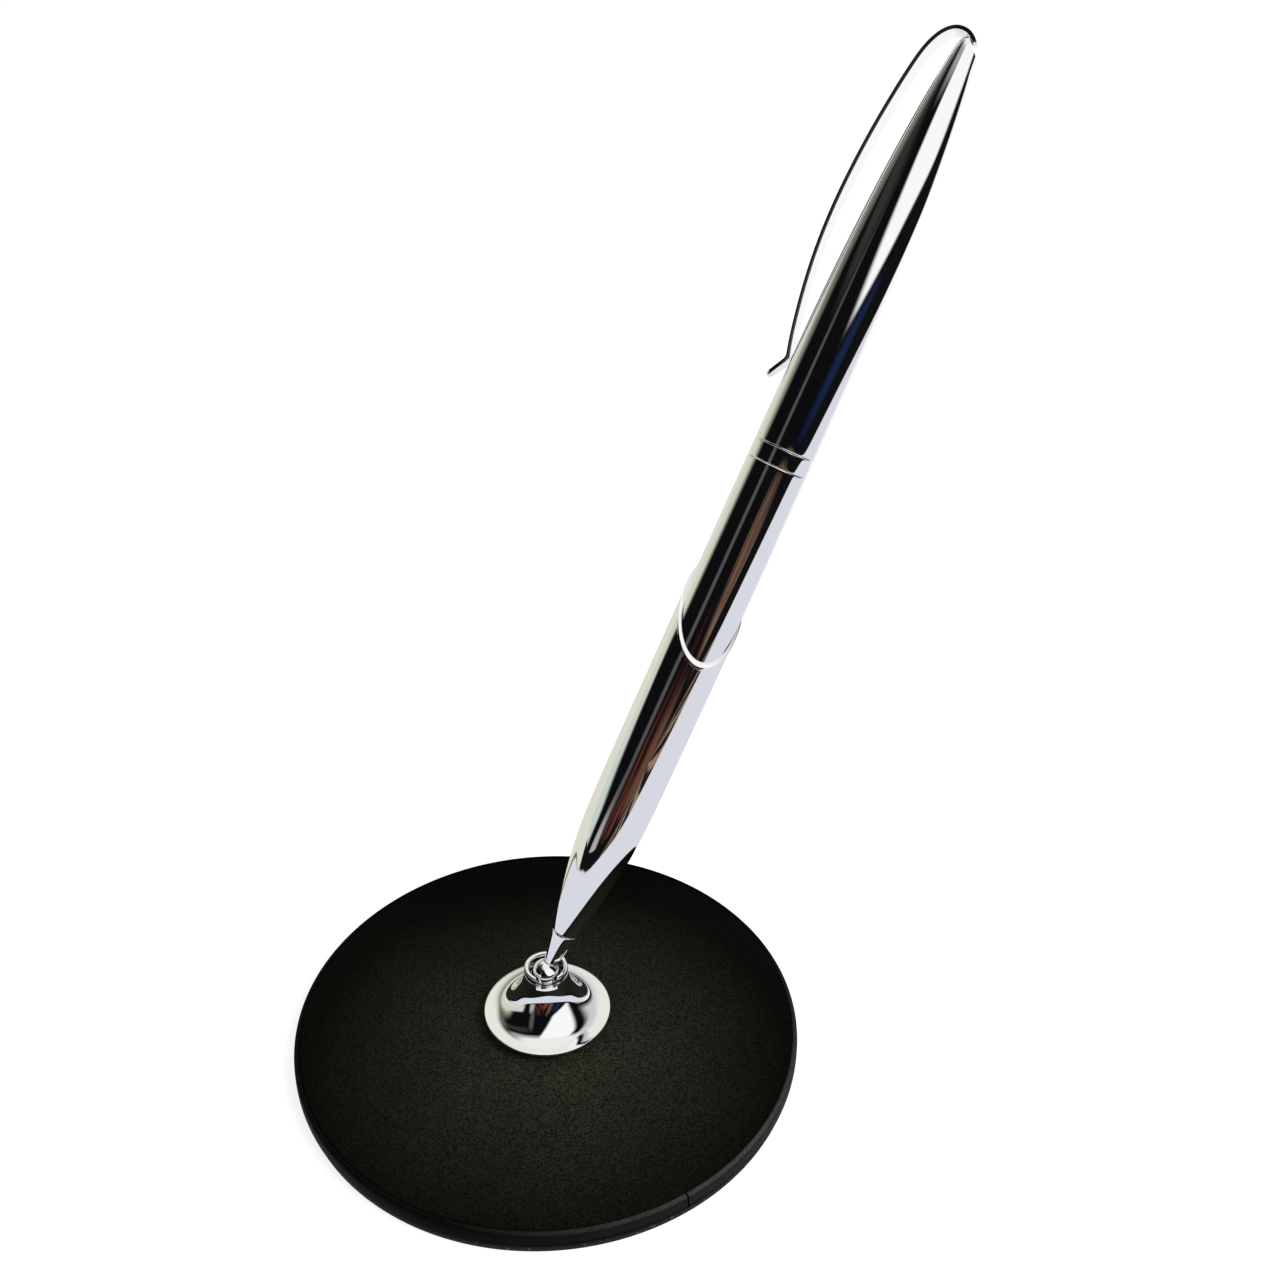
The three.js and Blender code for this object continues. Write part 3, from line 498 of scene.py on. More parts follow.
def make_chrome(name, colour=(0.93, 0.935, 0.945), gloss=(0.02, 0.05)):
    material, tree = new_material(name)
    where = node(tree, "ShaderNodeTexCoord").outputs["Object"]
    smudge = noise(tree, where, 90.0, 4.0, 0.6)
    rough = spread(tree, smudge, 0.4, 0.65, gloss[0], gloss[1])
    shade = spread(tree, noise(tree, where, 260.0, 2.0), 0.3, 0.7, 0.97, 1.0)
    tint = blend(tree, shade, rgb(*[c * 0.9 for c in colour]), rgb(*colour))
    principled(tree, Base_Color=tint, Metallic=1.0, Roughness=rough)
    return material


chrome = make_chrome("polished_chrome")
print("made", chrome.name)

# %% [markdown]
# Black leather is hardly ever one black. A fine noise gives the pores, a Voronoi pattern gives the
# pebbles that catch the light, and a painted sheen makes the colour fade away from one bright
# place, with painted shade along the back edge. The strip round the edge has a painted highlight
# along its upper rim and a painted dark groove line as well.

# %% Leather
GRAIN_MM = 0.42
CREASE_HEIGHT = 2.0


def relief(tree, grain, strength, depth_mm):
    """Small bumps from a pattern, for a shader's Normal."""
    inputs = {"Height": grain, "Strength": strength, "Distance": depth_mm * MM}
    return node(tree, "ShaderNodeBump", inputs).outputs[0]


def make_leather(name, colour, speckle, depth, gloss, shine, sheen_centre, sheen_reach_mm, strip=False):
    material, tree = new_material(name)
    where = node(tree, "ShaderNodeTexCoord").outputs["Object"]
    pebble = node(
        tree,
        "ShaderNodeTexVoronoi",
        {"Vector": where, "Scale": 1000.0 / GRAIN_MM, "Randomness": 1.0},
        feature="F1",
    ).outputs["Distance"]
    pore = noise(tree, where, 3700.0, 3.0, 0.6)
    wide = noise(tree, where, 60.0, 4.0, 0.55)
    grain_and_sheen = spread(tree, pore, 0.32, 0.68, 1 - speckle, 1 + speckle)
    grain_and_sheen = calc(tree, "MULTIPLY", grain_and_sheen, spread(tree, wide, 0.35, 0.65, 0.88, 1.12))
    # Painted sheen: the colour is brightest round one centre and fades with distance from it,
    # and painted shade darkens the far back edge.
    ends = {0: where, 1: sheen_centre}
    away = node(tree, "ShaderNodeVectorMath", ends, operation="DISTANCE").outputs[1]
    painted_sheen = spread(tree, away, sheen_reach_mm[0] * MM, sheen_reach_mm[1] * MM, 1.0, 0.08)
    _, back, rise = node(tree, "ShaderNodeSeparateXYZ", {"Vector": where}).outputs
    painted_sheen = calc(tree, "MULTIPLY", painted_sheen, spread(tree, back, 0.020, 0.034, 1.0, 0.15))
    if strip:
        # A painted highlight pales the upper edge, and painted shade darkens a thin groove line
        # that runs round above the lower edge.
        painted_sheen = calc(tree, "MULTIPLY", painted_sheen, spread(tree, rise, 3.75 * MM, 4.0 * MM, 1.0, 3.0))
        off_crease = calc(tree, "ABSOLUTE", calc(tree, "SUBTRACT", rise, CREASE_HEIGHT * MM))
        crease_shade = spread(tree, off_crease, 0.15 * MM, 0.35 * MM, 0.03, 1.0)
        painted_sheen = calc(tree, "MULTIPLY", painted_sheen, crease_shade)
    grain_and_sheen = calc(tree, "MULTIPLY", grain_and_sheen, painted_sheen)
    scaled = {0: colour, "Scale": grain_and_sheen}
    tint = node(tree, "ShaderNodeVectorMath", scaled, operation="SCALE").outputs[0]
    bump = relief(tree, calc(tree, "MULTIPLY_ADD", pebble, -0.7, pore), 0.6, depth)
    rough = spread(tree, wide, 0.3, 0.7, gloss[0], gloss[1])
    shader = principled(tree, Base_Color=tint, Roughness=rough, Normal=bump)
    shader.inputs["Specular IOR Level"].default_value = shine
    return material


print("leather grain", GRAIN_MM, "mm")

# %% [markdown]
# The top and the side are cut from one hide, but the side is stretched round the edge. One
# leather for both would be simpler. Stretching makes the side smoother and a touch glossier.
# Its colour is also set darker, and its painted sheen lies at the front right, so it gets
# settings of its own.

# %% Two leathers
leather = make_leather(
    "black_leather",
    colour=(0.0245, 0.0250, 0.0168),
    speckle=0.95,
    depth=0.10,
    gloss=(0.55, 0.68),
    shine=0.03,
    sheen_centre=(0.0, -0.006, 0.004),
    sheen_reach_mm=(6, 37),
)
side_leather = make_leather(
    "side_leather",
    colour=(0.0175, 0.0175, 0.0160),
    speckle=0.45,
    depth=0.05,
    gloss=(0.42, 0.52),
    shine=0.02,
    sheen_centre=(0.028, -0.028, 0.003),
    sheen_reach_mm=(4, 44),
    strip=True,
)
print("made", leather.name, "and", side_leather.name)

# %% [markdown]
# Every finished piece gets three things: the moving body that carries it, its finish, and the
# solids of the model that it replaces, which are hidden. Its shading is smooth, except across
# edges that really turn.

# %% Finish a piece
def polish(piece, angle=28):
    """Smooth shading that stops at real edges."""
    only(piece)
    bpy.ops.object.shade_smooth_by_angle(angle=math.radians(angle))


def count(piece):
    faces = len(piece.data.polygons)
    size = [round(v * 1000, 2) for v in piece.dimensions]
    print(piece.name, faces, "faces,", size, "mm")


def finish_piece(piece, body, nodes, material=None):
    """Shading, finish, body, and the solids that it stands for."""
    polish(piece)
    piece.data.materials.append(material or chrome)
    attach(piece, body)
    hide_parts(*nodes)
    count(piece)


# %% [markdown]
# ## The leather base
#
# The weight is covered by a disc of leather on top and a strip round the side, whose ends meet
# in a butt seam. Under them is a dark backing board. A plain cylinder would look like plastic:
# the real edge is soft, the board is set back behind a groove, and the seam pulls in slightly.

# %% Sizes of the base
BASE_RADIUS = 40.0
PAD_THICK = 1.0
LEATHER_TOP = 4.2
BAND_THICK = 0.8
BAND_BOTTOM = 1.3
print("base", 2 * BASE_RADIUS, "mm wide,", LEATHER_TOP, "mm thick")

# %% [markdown]
# The top is a flat ring with a slightly sunken seat for the stand. Its outer edge has two extra
# rings close together, so the Subdivision Surface leaves a small soft turn instead of a wide one.

# %% Top disc
top_low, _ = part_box("leather_top")
top_disc = turned(
    "leather_disc",
    [
        (3.2, top_low.z / MM),
        (39.15, top_low.z / MM),
        (39.15, LEATHER_TOP - 0.16),
        (38.9, LEATHER_TOP - 0.02),
        (38.2, LEATHER_TOP),
        (20.0, LEATHER_TOP),
        (10.4, LEATHER_TOP),
        (9.6, LEATHER_TOP - 0.05),
        (8.4, LEATHER_TOP - 0.06),
        (3.2, LEATHER_TOP - 0.06),
    ],
    sides=96,
    edge=0.1,
)
finish_piece(top_disc, "base", ["leather_top"], leather)

# %% [markdown]
# The side strip is the leather band that hides the weight's edge. It is turned as a closed ring
# first, with a soft shoulder where it meets the top, and its seam is opened afterwards.

# %% Side strip
strip = turned(
    "leather_strip",
    [
        (BASE_RADIUS - BAND_THICK, BAND_BOTTOM),
        (BASE_RADIUS - 0.25, BAND_BOTTOM),
        (BASE_RADIUS - 0.07, BAND_BOTTOM + 0.18),
        (BASE_RADIUS, BAND_BOTTOM + 0.7),
        (BASE_RADIUS, 2.7),
        (BASE_RADIUS - 0.02, 3.5),
        (BASE_RADIUS - 0.1, 3.85),
        (BASE_RADIUS - 0.28, 4.08),
        (BASE_RADIUS - 0.5, LEATHER_TOP - 0.01),
        (BASE_RADIUS - 0.68, LEATHER_TOP - 0.06),
        (BASE_RADIUS - BAND_THICK, LEATHER_TOP - 0.16),
    ],
    sides=96,
    edge=0.08,
)
print("strip before its seam:", len(strip.data.polygons), "faces")

# %% [markdown]
# A cut should only touch faces in one place, so faces and points are picked by where they are.
# A box selection would depend on the view, while a test of each place always gives the same.

# %% Pick faces and points by place
def pick_faces(piece, wanted):
    """Selects the faces whose centre passes the test, and nothing else."""
    bpy.ops.mesh.select_all(action="DESELECT")
    bpy.ops.mesh.select_mode(type="FACE")
    bpy.ops.object.mode_set(mode="OBJECT")
    for face in piece.data.polygons:
        face.select = bool(wanted(face.center, face.normal))
    bpy.ops.object.mode_set(mode="EDIT")


def pick_points(piece, wanted):
    """Selects the points whose place passes the test, and nothing else."""
    bpy.ops.mesh.select_all(action="DESELECT")
    bpy.ops.mesh.select_mode(type="VERT")
    bpy.ops.object.mode_set(mode="OBJECT")
    for point in piece.data.vertices:
        point.select = bool(wanted(point.co))
    bpy.ops.object.mode_set(mode="EDIT")



# %% [markdown]
# The strip's two ends meet in a butt seam at the lower right. Two straight cuts close together
# open the ring, only on that side, and the loose slice between them is deleted. The two cut ends
# are filled and bevelled, so that they turn in like real leather.

# %% Open the seam
SEAM_ANGLE = -62.0
SEAM_WIDTH = 0.3
# A cut moves points that lie this near to it; the usual 0.1 mm would be too coarse here.
EXACT = 1e-6
seam = math.radians(SEAM_ANGLE)
outward = Vector((math.cos(seam), math.sin(seam), 0))
across = Vector((-math.sin(seam), math.cos(seam), 0))


def near_seam(centre, reach):
    return centre.dot(outward) > 0 and abs(centre.dot(across)) < reach * MM


def bevel(piece, width_mm, segments, sharpest):
    """Rounds the edges that turn by more than this angle in degrees."""
    add_modifier(
        piece,
        "BEVEL",
        width=width_mm * MM,
        segments=segments,
        limit_method="ANGLE",
        angle_limit=math.radians(sharpest),
    )


editing(strip)
for side in (-1, 1):
    pick_faces(strip, lambda centre, normal: near_seam(centre, 3.0))
    wall = across * side * SEAM_WIDTH / 2 * MM
    bpy.ops.mesh.bisect(plane_co=wall, plane_no=across, threshold=EXACT)
pick_faces(strip, lambda centre, normal: near_seam(centre, SEAM_WIDTH / 2))
bpy.ops.mesh.delete(type="FACE")
bpy.ops.mesh.select_mode(type="EDGE")
bpy.ops.mesh.select_non_manifold()
bpy.ops.mesh.edge_face_add()
done()
bevel(strip, 0.1, segments=3, sharpest=60)
finish_piece(strip, "base", ["leather_band"], side_leather)


# %% [markdown]
# The backing board shows as a thin grey edge with pale specks under the leather. It is pressed
# fibre, so its edge is rough: a coarse noise carries both the specks and the small pits.

# %% Backing board
def make_board(name):
    material, tree = new_material(name)
    where = node(tree, "ShaderNodeTexCoord").outputs["Object"]
    fibre = noise(tree, where, 1400.0, 4.0, 0.7)
    fleck = noise(tree, where, 2600.0, 2.0, 0.5)
    amount = ease(tree, fleck, 0.62, 0.72)
    shade = spread(tree, fibre, 0.35, 0.7, 0.0, 1.0)
    base = blend(tree, shade, rgb(0.004, 0.004, 0.004), rgb(0.02, 0.02, 0.021))
    tint = blend(tree, amount, base, rgb(0.16, 0.16, 0.165))
    bump = relief(tree, fibre, 0.7, 0.08)
    shader = principled(tree, Base_Color=tint, Roughness=0.7, Normal=bump)
    shader.inputs["Specular IOR Level"].default_value = 0.3
    return material


board = make_board("backing_board")
backing = turned(
    "backing_disc",
    [
        (2.0, 0.0),
        (39.3, 0.0),
        (39.55, 0.12),
        (39.6, 0.35),
        (39.6, 0.7),
        (39.52, 0.93),
        (39.3, PAD_THICK),
        (2.0, PAD_THICK),
    ],
    sides=96,
    levels=1,
    edge=0.08,
)
finish_piece(backing, "base", ["bottom_pad"], board)

# %% [markdown]
# ## The trumpet stand
#
# The stand flares from a narrow neck to a thin flange in one hollow curve. The curve matters
# more than anything: a polished hollow cone folds the whole room into a small picture, and a
# slightly wrong slope would show it in the wrong place. The flare runs into the flange without
# a step, as on a piece turned in one go.

# %% Stand
CUP_BORE = 2.75
FOOT_BORE = 2.0
FLARE = [
    (9.3, 1.3),
    (9.85, 1.55),
    (10.06, 1.85),
    (10.0, 2.12),
    (9.7, 2.2),
    (9.2, 2.24),
    (8.4, 2.38),
    (7.7, 2.62),
    (7.2, 2.92),
    (6.5, 3.5),
    (5.8, 4.27),
    (5.2, 5.1),
    (4.6, 6.15),
    (4.15, 7.1),
    (3.85, 8.0),
    (3.6, 8.9),
    (3.42, 9.7),
    (3.42, 9.85),
]
section = [(FOOT_BORE, LEATHER_TOP - 0.02), (8.2, LEATHER_TOP - 0.02)]
section += [(r, LEATHER_TOP + h) for r, h in FLARE]
section += [(CUP_BORE, LEATHER_TOP + 9.85), (CUP_BORE, LEATHER_TOP + 5.3)]
section.append((FOOT_BORE, LEATHER_TOP + 5.2))
stand = turned("stand_trumpet", section, sides=64, levels=2, edge=0.05)
print("stand before its slot:", len(stand.data.polygons), "faces")

# %% [markdown]
# The cup is slotted in front, down to just above the race. A Boolean would do it, but three
# straight cuts keep clean faces: one each side of the slot and one along its floor. The faces
# between are deleted, and each wall that this opens is filled by itself, sides first.

# %% Slot in the cup
SLOT_HALF = 1.65
SLOT_FLOOR = LEATHER_TOP + 9.1


def slot_front(piece, floor_height):
    """Opens the front of an upright ring between two walls, down to a floor."""
    reach = 2e-3 * MM

    def in_front(centre, room):
        return centre.y < 0 and abs(centre.x) < room and centre.z > floor_height - 0.6 * MM

    editing(piece)
    for side in (-1, 1):
        pick_faces(piece, lambda centre, normal: in_front(centre, 2.4 * MM))
        wall = (side * SLOT_HALF * MM, 0, 0)
        bpy.ops.mesh.bisect(plane_co=wall, plane_no=(1, 0, 0), threshold=EXACT)
    pick_faces(piece, lambda centre, normal: in_front(centre, SLOT_HALF * MM))
    bpy.ops.mesh.bisect(plane_co=(0, 0, floor_height), plane_no=(0, 0, 1), threshold=EXACT)
    pick_faces(
        piece,
        lambda centre, normal: in_front(centre, SLOT_HALF * MM) and centre.z > floor_height,
    )
    bpy.ops.mesh.delete(type="FACE")
    for side in (-1, 1):
        pick_points(
            piece,
            lambda place: place.y < 0
            and abs(place.x - side * SLOT_HALF * MM) < reach
            and place.z > floor_height - reach,
        )
        bpy.ops.mesh.select_mode(type="EDGE")
        bpy.ops.mesh.edge_face_add()
    if any(abs(point.co.z - floor_height) < reach for point in piece.data.vertices):
        bpy.ops.mesh.select_all(action="DESELECT")
        bpy.ops.mesh.select_mode(type="EDGE")
        bpy.ops.mesh.select_non_manifold()
        bpy.ops.mesh.edge_face_add()
    bpy.ops.mesh.select_all(action="SELECT")
    bpy.ops.mesh.normals_make_consistent(inside=False)
    done()
    bevel(piece, 0.05, segments=2, sharpest=50)


slot_front(stand, SLOT_FLOOR * MM)
finish_piece(stand, "base", ["trumpet_stand"])

# %% [markdown]
# A collar is pressed on the rim of the cup and keeps the swivelling race inside. It is a ring
# with a rolled top edge, slotted in front like the cup, so the same cuts serve for both.

# %% Collar
collar = turned(
    "rim_collar",
    [
        (2.64, LEATHER_TOP + 9.88),
        (3.42, LEATHER_TOP + 9.88),
        (3.46, LEATHER_TOP + 10.1),
        (3.46, LEATHER_TOP + 10.6),
        (3.38, LEATHER_TOP + 10.86),
        (3.2, LEATHER_TOP + 10.98),
        (3.0, LEATHER_TOP + 10.99),
        (2.8, LEATHER_TOP + 10.93),
        (2.67, LEATHER_TOP + 10.76),
        (2.64, LEATHER_TOP + 10.5),
    ],
    edge=0.04,
)
slot_front(collar, (LEATHER_TOP + 9.5) * MM)
finish_piece(collar, "base", ["cup_collar"])

# %% [markdown]
# ## The pen
#
# All the pen's turned pieces are stacked upright round their own axis, with the centre of the
# swivel ball at zero. Each is then leaned over as a whole and the turn is applied, so that the
# finished piece sits where the solid model has it.

# %% Lean a finished piece into the cup
LEAN = math.radians(29.87)
LEAN_TOWARDS = math.radians(32.88)
BALL_HEIGHT = 9.54
BALL_CENTRE = LEATHER_TOP + BALL_HEIGHT


def lean(piece):
    piece.location = (0, 0, BALL_CENTRE * MM)
    piece.rotation_euler = (0, LEAN, LEAN_TOWARDS)
    only(piece)
    bpy.ops.object.transform_apply(location=True, rotation=True, scale=True)


print("ball centre", round(BALL_CENTRE, 2), "mm up, lean", round(math.degrees(LEAN), 2), "degrees")

# %% [markdown]
# The nose stands in a ball that turns in the cup. A magnet under it holds the ball down in its
# race, and the ball has a tapered seat. It is polished as well and mirrors a tiny bright room.

# %% Ball and race
BALL_RADIUS = 2.3
BALL_MOUTH = 1.9
BALL_FOOT = -2.1
BALL_STEPS = 12
highest = math.asin(BALL_MOUTH / BALL_RADIUS)
lowest = math.asin(BALL_FOOT / BALL_RADIUS)
ball_section = [(1.16, 1.87), (1.2, BALL_MOUTH)]
for step in range(BALL_STEPS + 1):
    angle = highest + step / BALL_STEPS * (lowest - highest)
    ball_section.append((BALL_RADIUS * math.cos(angle), BALL_RADIUS * math.sin(angle)))
ball_section += [(0.53, BALL_FOOT), (0.53, -0.52), (0.8, -0.44)]
seat_ball = turned("seat_ball_skin", ball_section, sides=48, edge=0.03)
lean(seat_ball)
finish_piece(seat_ball, "ball", ["swivel_ball"])

RACE_HOLLOW = 2.36
RACE_STEPS = 7
race_section = [(0.72, 7.0), (2.6, 7.0), (2.7, 7.1), (2.7, 8.99), (2.6, 9.09), (2.32, 9.09)]
for step in range(1, RACE_STEPS + 1):
    angle = math.radians(-11 - 61.5 * step / RACE_STEPS)
    out = RACE_HOLLOW * math.cos(angle)
    race_section.append((out, BALL_HEIGHT + RACE_HOLLOW * math.sin(angle)))
race_ring = turned(
    "race_ring", [(r, LEATHER_TOP + h) for r, h in race_section], sides=48, edge=0.03
)
race_steel = make_chrome("race_steel", (0.5, 0.51, 0.52), (0.2, 0.3))
finish_piece(race_ring, "race", ["swivel_race"], race_steel)

# %% [markdown]
# The nose is a small hollow cone with a rounded lip. The refill's point comes out of it, so the
# section runs up the outside and back down the bore. A solid cone would show a closed tip.

# %% Nose cone
nose = turned(
    "nose_cone_skin",
    [
        (0.5, -0.4),
        (0.66, -0.4),
        (0.72, -0.3),
        (0.9, 0.7),
        (1.3, 3.1),
        (1.7, 5.5),
        (1.97, 7.2),
        (1.93, 7.4),
        (1.7, 7.4),
        (1.25, 6.5),
        (1.2, 5.0),
        (0.5, 1.6),
    ],
    sides=48,
    edge=0.05,
)
lean(nose)
finish_piece(nose, "pen", ["nose_cone"])

# %% [markdown]
# The barrel is in two halves that meet at a slanted seam under a raised ring. A slanted end
# can't be stacked from level rings, so each half is made too long and then cut by one flat
# plane. The open tube that this leaves is closed by bridging its outer and inner edges.

# %% Cutting a tube on the slant
SLANT_MIDDLE = 62.7
SLANT_SLOPE = 1.5
SLANT_LOW = math.radians(-118.8)
slant_x = SLANT_SLOPE * math.cos(SLANT_LOW)
slant_y = SLANT_SLOPE * math.sin(SLANT_LOW)
slant = Vector((slant_x, slant_y, 1)).normalized()


def cut_tube(piece, point, direction, keep_below, one_outline=False):
    """Cuts an upright tube by a plane, and closes it from its outer edge to its inner edge."""
    editing(piece)
    bpy.ops.mesh.bisect(
        plane_co=Vector(point) * MM,
        plane_no=direction,
        clear_outer=keep_below,
        clear_inner=not keep_below,
        threshold=EXACT,
    )
    bpy.ops.mesh.select_all(action="DESELECT")
    bpy.ops.mesh.select_mode(type="EDGE")
    bpy.ops.mesh.select_non_manifold()
    if one_outline:
        bpy.ops.mesh.fill()
    else:
        bpy.ops.mesh.bridge_edge_loops()
    bpy.ops.mesh.select_all(action="SELECT")
    bpy.ops.mesh.normals_make_consistent(inside=False)
    done()


def cut_slanted(piece, along, keep_below):
    """The slanted cut whose plane crosses the tube's axis at this height."""
    cut_tube(piece, (0, 0, along), slant, keep_below)


print("the cut slants by", round(math.degrees(math.atan(SLANT_SLOPE)), 1), "degrees")

# %% [markdown]
# The front barrel swells from the nose in one long curve and then runs straight. The curve is
# what bends the mirrored window into its long point, so its rings stand closest at the nose.

# %% Front barrel
BORE = 4.1
FRONT_RADIUS = 5.0
front = turned(
    "front_barrel_skin",
    [
        (1.73, 7.43),
        (1.95, 7.43),
        (2.06, 7.55),
        (2.35, 8.8),
        (2.8, 11.0),
        (3.33, 14.0),
        (3.8, 17.0),
        (4.22, 20.0),
        (4.56, 23.0),
        (4.79, 26.0),
        (4.91, 30.0),
        (4.97, 36.0),
        (FRONT_RADIUS, 44.0),
        (FRONT_RADIUS, 58.0),
        (FRONT_RADIUS, 74.0),
        (BORE, 74.0),
        (BORE, 27.0),
        (3.4, 20.0),
        (2.5, 14.5),
        (1.73, 11.6),
    ],
    edge=0.05,
)
cut_slanted(front, SLANT_MIDDLE, keep_below=True)
lean(front)
finish_piece(front, "pen", ["front_barrel"])

# %% [markdown]
# The ring is a thin slice of a wider tube between two slanted cuts. It stands only a tenth of a
# millimetre proud, and a rounded bevel gives it the one bright line that shows from afar. The
# bevel's angle limit is low, because the slant makes its edges blunt at one side.

# %% Trim ring
TRIM_ALONG = 0.5
TRIM_GAP = 0.03
TRIM_RADIUS = FRONT_RADIUS + 0.12
ring = turned(
    "slanted_ring",
    [(BORE, 50.0), (TRIM_RADIUS, 50.0), (TRIM_RADIUS, 76.0), (BORE, 76.0)],
    edge=0.05,
)
cut_slanted(ring, SLANT_MIDDLE + TRIM_GAP, keep_below=False)
cut_slanted(ring, SLANT_MIDDLE + TRIM_GAP + TRIM_ALONG, keep_below=True)
bevel(ring, 0.09, segments=4, sharpest=25)
lean(ring)
finish_piece(ring, "pen", ["trim_ring"])

# %% [markdown]
# The rear barrel starts just above the ring and is a little thinner. It is the same kind of
# tube, so the same cut closes it.

# %% Rear barrel
REAR_RADIUS = 4.66
rear = turned(
    "rear_barrel_skin",
    [
        (BORE, 48.0),
        (REAR_RADIUS, 48.0),
        (REAR_RADIUS, 66.0),
        (REAR_RADIUS, 86.4),
        (4.6, 86.5),
        (BORE, 86.5),
    ],
    edge=0.04,
)
cut_slanted(rear, SLANT_MIDDLE + 2 * TRIM_GAP + TRIM_ALONG, keep_below=False)
lean(rear)
finish_piece(rear, "pen", ["rear_barrel"])

# %% [markdown]
# The centre band is a short ring whose edges are eased, which leaves a fine groove at each side.
# Grooves could be cut into one long tube, but on the real pen these are separate pieces, and the
# upper one turns against the lower ones.

# %% Centre band
band_ring = turned(
    "centre_band_skin",
    [
        (BORE, 86.53),
        (4.52, 86.53),
        (4.64, 86.62),
        (REAR_RADIUS, 86.8),
        (REAR_RADIUS, 88.9),
        (4.64, 89.1),
        (4.52, 89.2),
        (BORE, 89.2),
    ],
    edge=0.03,
)
lean(band_ring)
finish_piece(band_ring, "pen", ["centre_band"])

# %% [markdown]
# The upper barrel tapers to a blunt point with a bore for the clip's rivet. Its end is cut to lie
# under the clip's bend, by two flats that follow it. These leave one outline each, which is
# filled, where the barrels' cuts leave two that are bridged.

# %% Upper barrel
upper = turned(
    "upper_barrel_skin",
    [
        (3.98, 89.25),
        (4.52, 89.25),
        (4.64, 89.35),
        (4.66, 89.6),
        (4.65, 92.0),
        (4.62, 97.0),
        (4.59, 105.0),
        (4.53, 110.0),
        (4.42, 115.0),
        (4.24, 120.0),
        (4.0, 125.0),
        (3.71, 130.0),
        (3.33, 135.0),
        (2.86, 140.0),
        (2.26, 145.0),
        (1.8, 148.0),
        (1.64, 148.9),
        (1.48, 149.45),
        (1.26, 149.85),
        (0.98, 150.2),
        (0.72, 150.6),
        (0.48, 150.6),
        (0.48, 145.1),
        (1.35, 144.6),
        (2.05, 140.0),
        (2.95, 130.0),
        (3.5, 120.0),
        (3.98, 108.0),
    ],
    edge=0.04,
)
CLIP_ANGLE = math.radians(113.2)
clip_way = Vector((math.cos(CLIP_ANGLE), math.sin(CLIP_ANGLE), 0))
FLATS = [(-0.66, 149.2), (0.0, 149.94), (0.75, 150.31)]
for (out, along), (next_out, next_along) in zip(FLATS, FLATS[1:]):
    start = clip_way * out + Vector((0, 0, along))
    flat = (clip_way * (along - next_along) + Vector((0, 0, next_out - out))).normalized()
    cut_tube(upper, start, flat, keep_below=True, one_outline=True)
lean(upper)
finish_piece(upper, "cap_half", ["upper_barrel"])

# %% [markdown]
# ## The clip
#
# The clip is one strip of spring steel, bent in a long bow from the pointed end to a small foot
# that flicks out. A strip is easiest as a line drawn across its width and extruded along its
# path. Solidify gives it an even thickness and a bevel takes the sharp edges off.

# %% Clip path
CLIP_END = 150.2
CLIP_PATH = [
    (-0.95, -0.8, 0.6),
    (-0.88, -0.68, 0.92),
    (-0.77, -0.5, 1.06),
    (-0.49, -0.16, 1.18),
    (0.03, 0.24, 1.3),
    (0.63, 0.48, 1.42),
    (1.28, 0.57, 1.5),
    (1.9, 0.55, 1.55),
    (2.5, 0.38, 1.58),
    (3.1, 0.04, 1.6),
    (3.7, -0.48, 1.62),
    (4.3, -1.22, 1.65),
    (4.85, -2.3, 1.68),
    (5.25, -3.35, 1.7),
    (5.65, -4.75, 1.7),
    (6.3, -8.2, 1.7),
    (6.95, -12.6, 1.68),
    (7.52, -17.6, 1.64),
    (7.9, -23.1, 1.6),
    (8.0, -28.1, 1.55),
    (7.8, -33.1, 1.5),
    (7.25, -38.1, 1.45),
    (6.5, -42.6, 1.38),
    (5.78, -46.1, 1.33),
    (5.27, -48.0, 1.3),
    (5.03, -48.8, 1.3),
    (5.22, -49.45, 1.3),
    (5.95, -50.55, 1.26),
    (6.65, -51.7, 1.1),
    (7.1, -52.35, 0.7),
]
print("clip path of", len(CLIP_PATH), "places, widest", 2 * max(p[2] for p in CLIP_PATH), "mm")

# %% [markdown]
# The clip starts as a circle of four points of which two are kept, joined by one edge. Carrying
# that edge from point to point along the path leaves a row of panels, which are then thickened
# both ways from the middle.

# %% Clip strip
CLIP_THICK = 0.6
only(None)
first_out, first_rise, first_half = CLIP_PATH[0]
bpy.ops.mesh.primitive_circle_add(
    vertices=4, radius=first_half * MM, location=(0, 0, (CLIP_END + first_rise) * MM)
)
clip = bpy.context.object
clip.name = clip.data.name = "clip_spring"
bpy.ops.object.transform_apply(location=True)
editing(clip)
# Only the side-to-side corners stay, joined by one edge that is carried along the path.
pick_points(clip, lambda place: abs(place.x) < abs(place.y))
bpy.ops.mesh.select_all(action="INVERT")
bpy.ops.mesh.delete(type="VERT")
bpy.ops.mesh.select_all(action="SELECT")
bpy.ops.mesh.edge_face_add()
bpy.ops.transform.translate(value=(first_out * MM, 0, 0))
for before, after in zip(CLIP_PATH, CLIP_PATH[1:]):
    step = ((after[0] - before[0]) * MM, 0, (after[1] - before[1]) * MM)
    bpy.ops.mesh.extrude_region_move(TRANSFORM_OT_translate={"value": step})
    bpy.ops.transform.resize(value=(1, after[2] / before[2], 1))
done()
print("clip strip has", len(clip.data.polygons), "panels")
add_modifier(clip, "SOLIDIFY", thickness=CLIP_THICK * MM, offset=0.0, use_even_offset=True)
bevel(clip, 0.06, segments=2, sharpest=60)
add_modifier(clip, "SUBSURF", levels=3, render_levels=3)
clip.rotation_euler = (0, 0, CLIP_ANGLE)
only(clip)
bpy.ops.object.transform_apply(rotation=True)
lean(clip)
finish_piece(clip, "clip", ["clip_strip"])

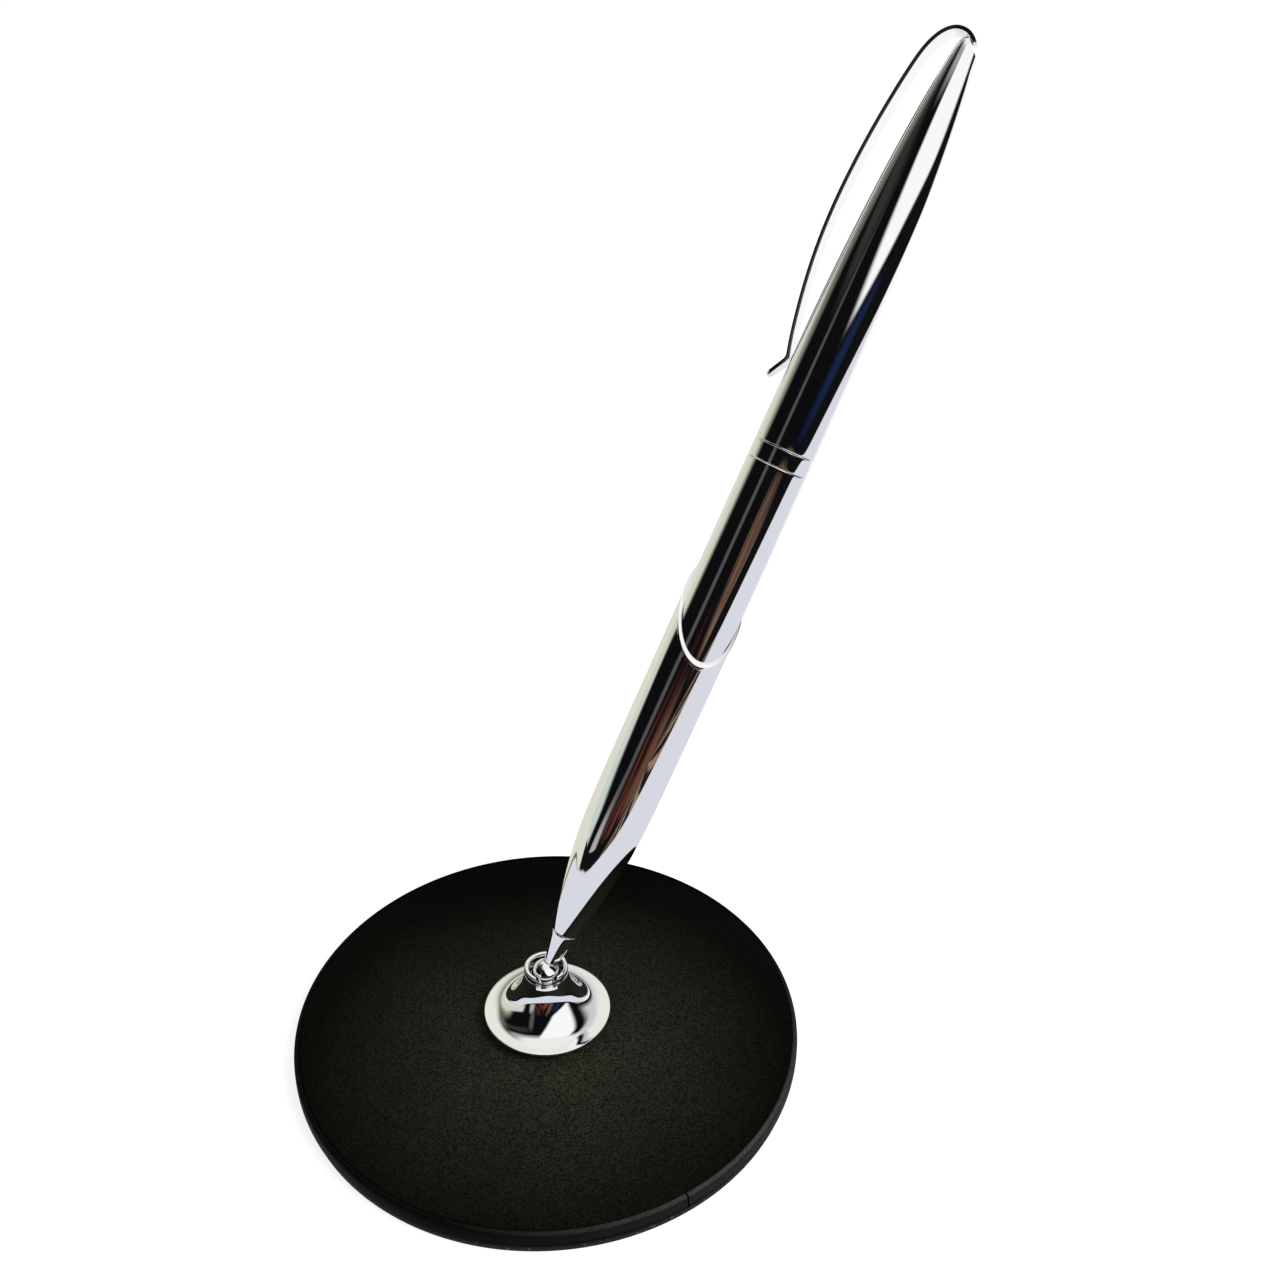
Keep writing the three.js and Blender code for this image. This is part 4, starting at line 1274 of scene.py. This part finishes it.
# %% [markdown]
# ## Pieces carried over from the solid model
#
# What stays hidden at rest keeps its solid and only needs its finish: steel in the base, brass
# and nylon in the pen. They show when the pen is lifted out or the point is twisted out.

# %% Metals and plastics inside
def two_tone(tree, pattern, colour, darkest):
    """The colour, darkened where the pattern is low."""
    amount = spread(tree, pattern, 0.3, 0.7, 0.0, 1.0)
    return blend(tree, amount, rgb(*[c * darkest for c in colour]), rgb(*colour))


def make_metal(name, colour, gloss, brushed):
    material, tree = new_material(name)
    where = node(tree, "ShaderNodeTexCoord").outputs["Object"]
    marks = noise(tree, where, 1800.0, 3.0, 0.6)
    tint = two_tone(tree, marks, colour, 0.82)
    rough = spread(tree, marks, 0.3, 0.7, gloss - brushed, gloss + brushed)
    bump = relief(tree, marks, 0.25, 0.01)
    principled(tree, Base_Color=tint, Metallic=1.0, Roughness=rough, Normal=bump)
    return material


def make_plastic(name, colour, gloss):
    material, tree = new_material(name)
    where = node(tree, "ShaderNodeTexCoord").outputs["Object"]
    flow = noise(tree, where, 500.0, 3.0, 0.5)
    tint = two_tone(tree, flow, colour, 0.9)
    rough = spread(tree, flow, 0.3, 0.7, gloss - 0.06, gloss + 0.06)
    principled(tree, Base_Color=tint, Roughness=rough)
    return material


print("finishes so far:", len(bpy.data.materials))

# %% [markdown]
# The record names a slot for every solid, and each slot has one finish. The solids keep their
# shapes and only take that finish, so the moving parts inside look right in any pose.

# %% Finish the solids
inner_finish = {
    "chrome": chrome,
    "steel": make_metal("plain_steel", (0.56, 0.57, 0.58), 0.3, 0.08),
    "brass": make_metal("turned_brass", (0.72, 0.56, 0.27), 0.25, 0.08),
    "nylon": make_plastic("white_nylon", (0.80, 0.79, 0.74), 0.45),
    "rubber": make_plastic("black_rubber", (0.02, 0.02, 0.022), 0.6),
    "leather": board,
}
slot_of = {part["node"]: part["material_slot"] for part in frame["record"]["subparts"]}
for name, solid in frame["nodes"].items():
    finish = inner_finish[slot_of[name]]
    if solid.material_slots:
        for slot in solid.material_slots:
            slot.material = finish
    else:
        solid.data.materials.append(finish)
print("finished", len(frame["nodes"]), "solids")
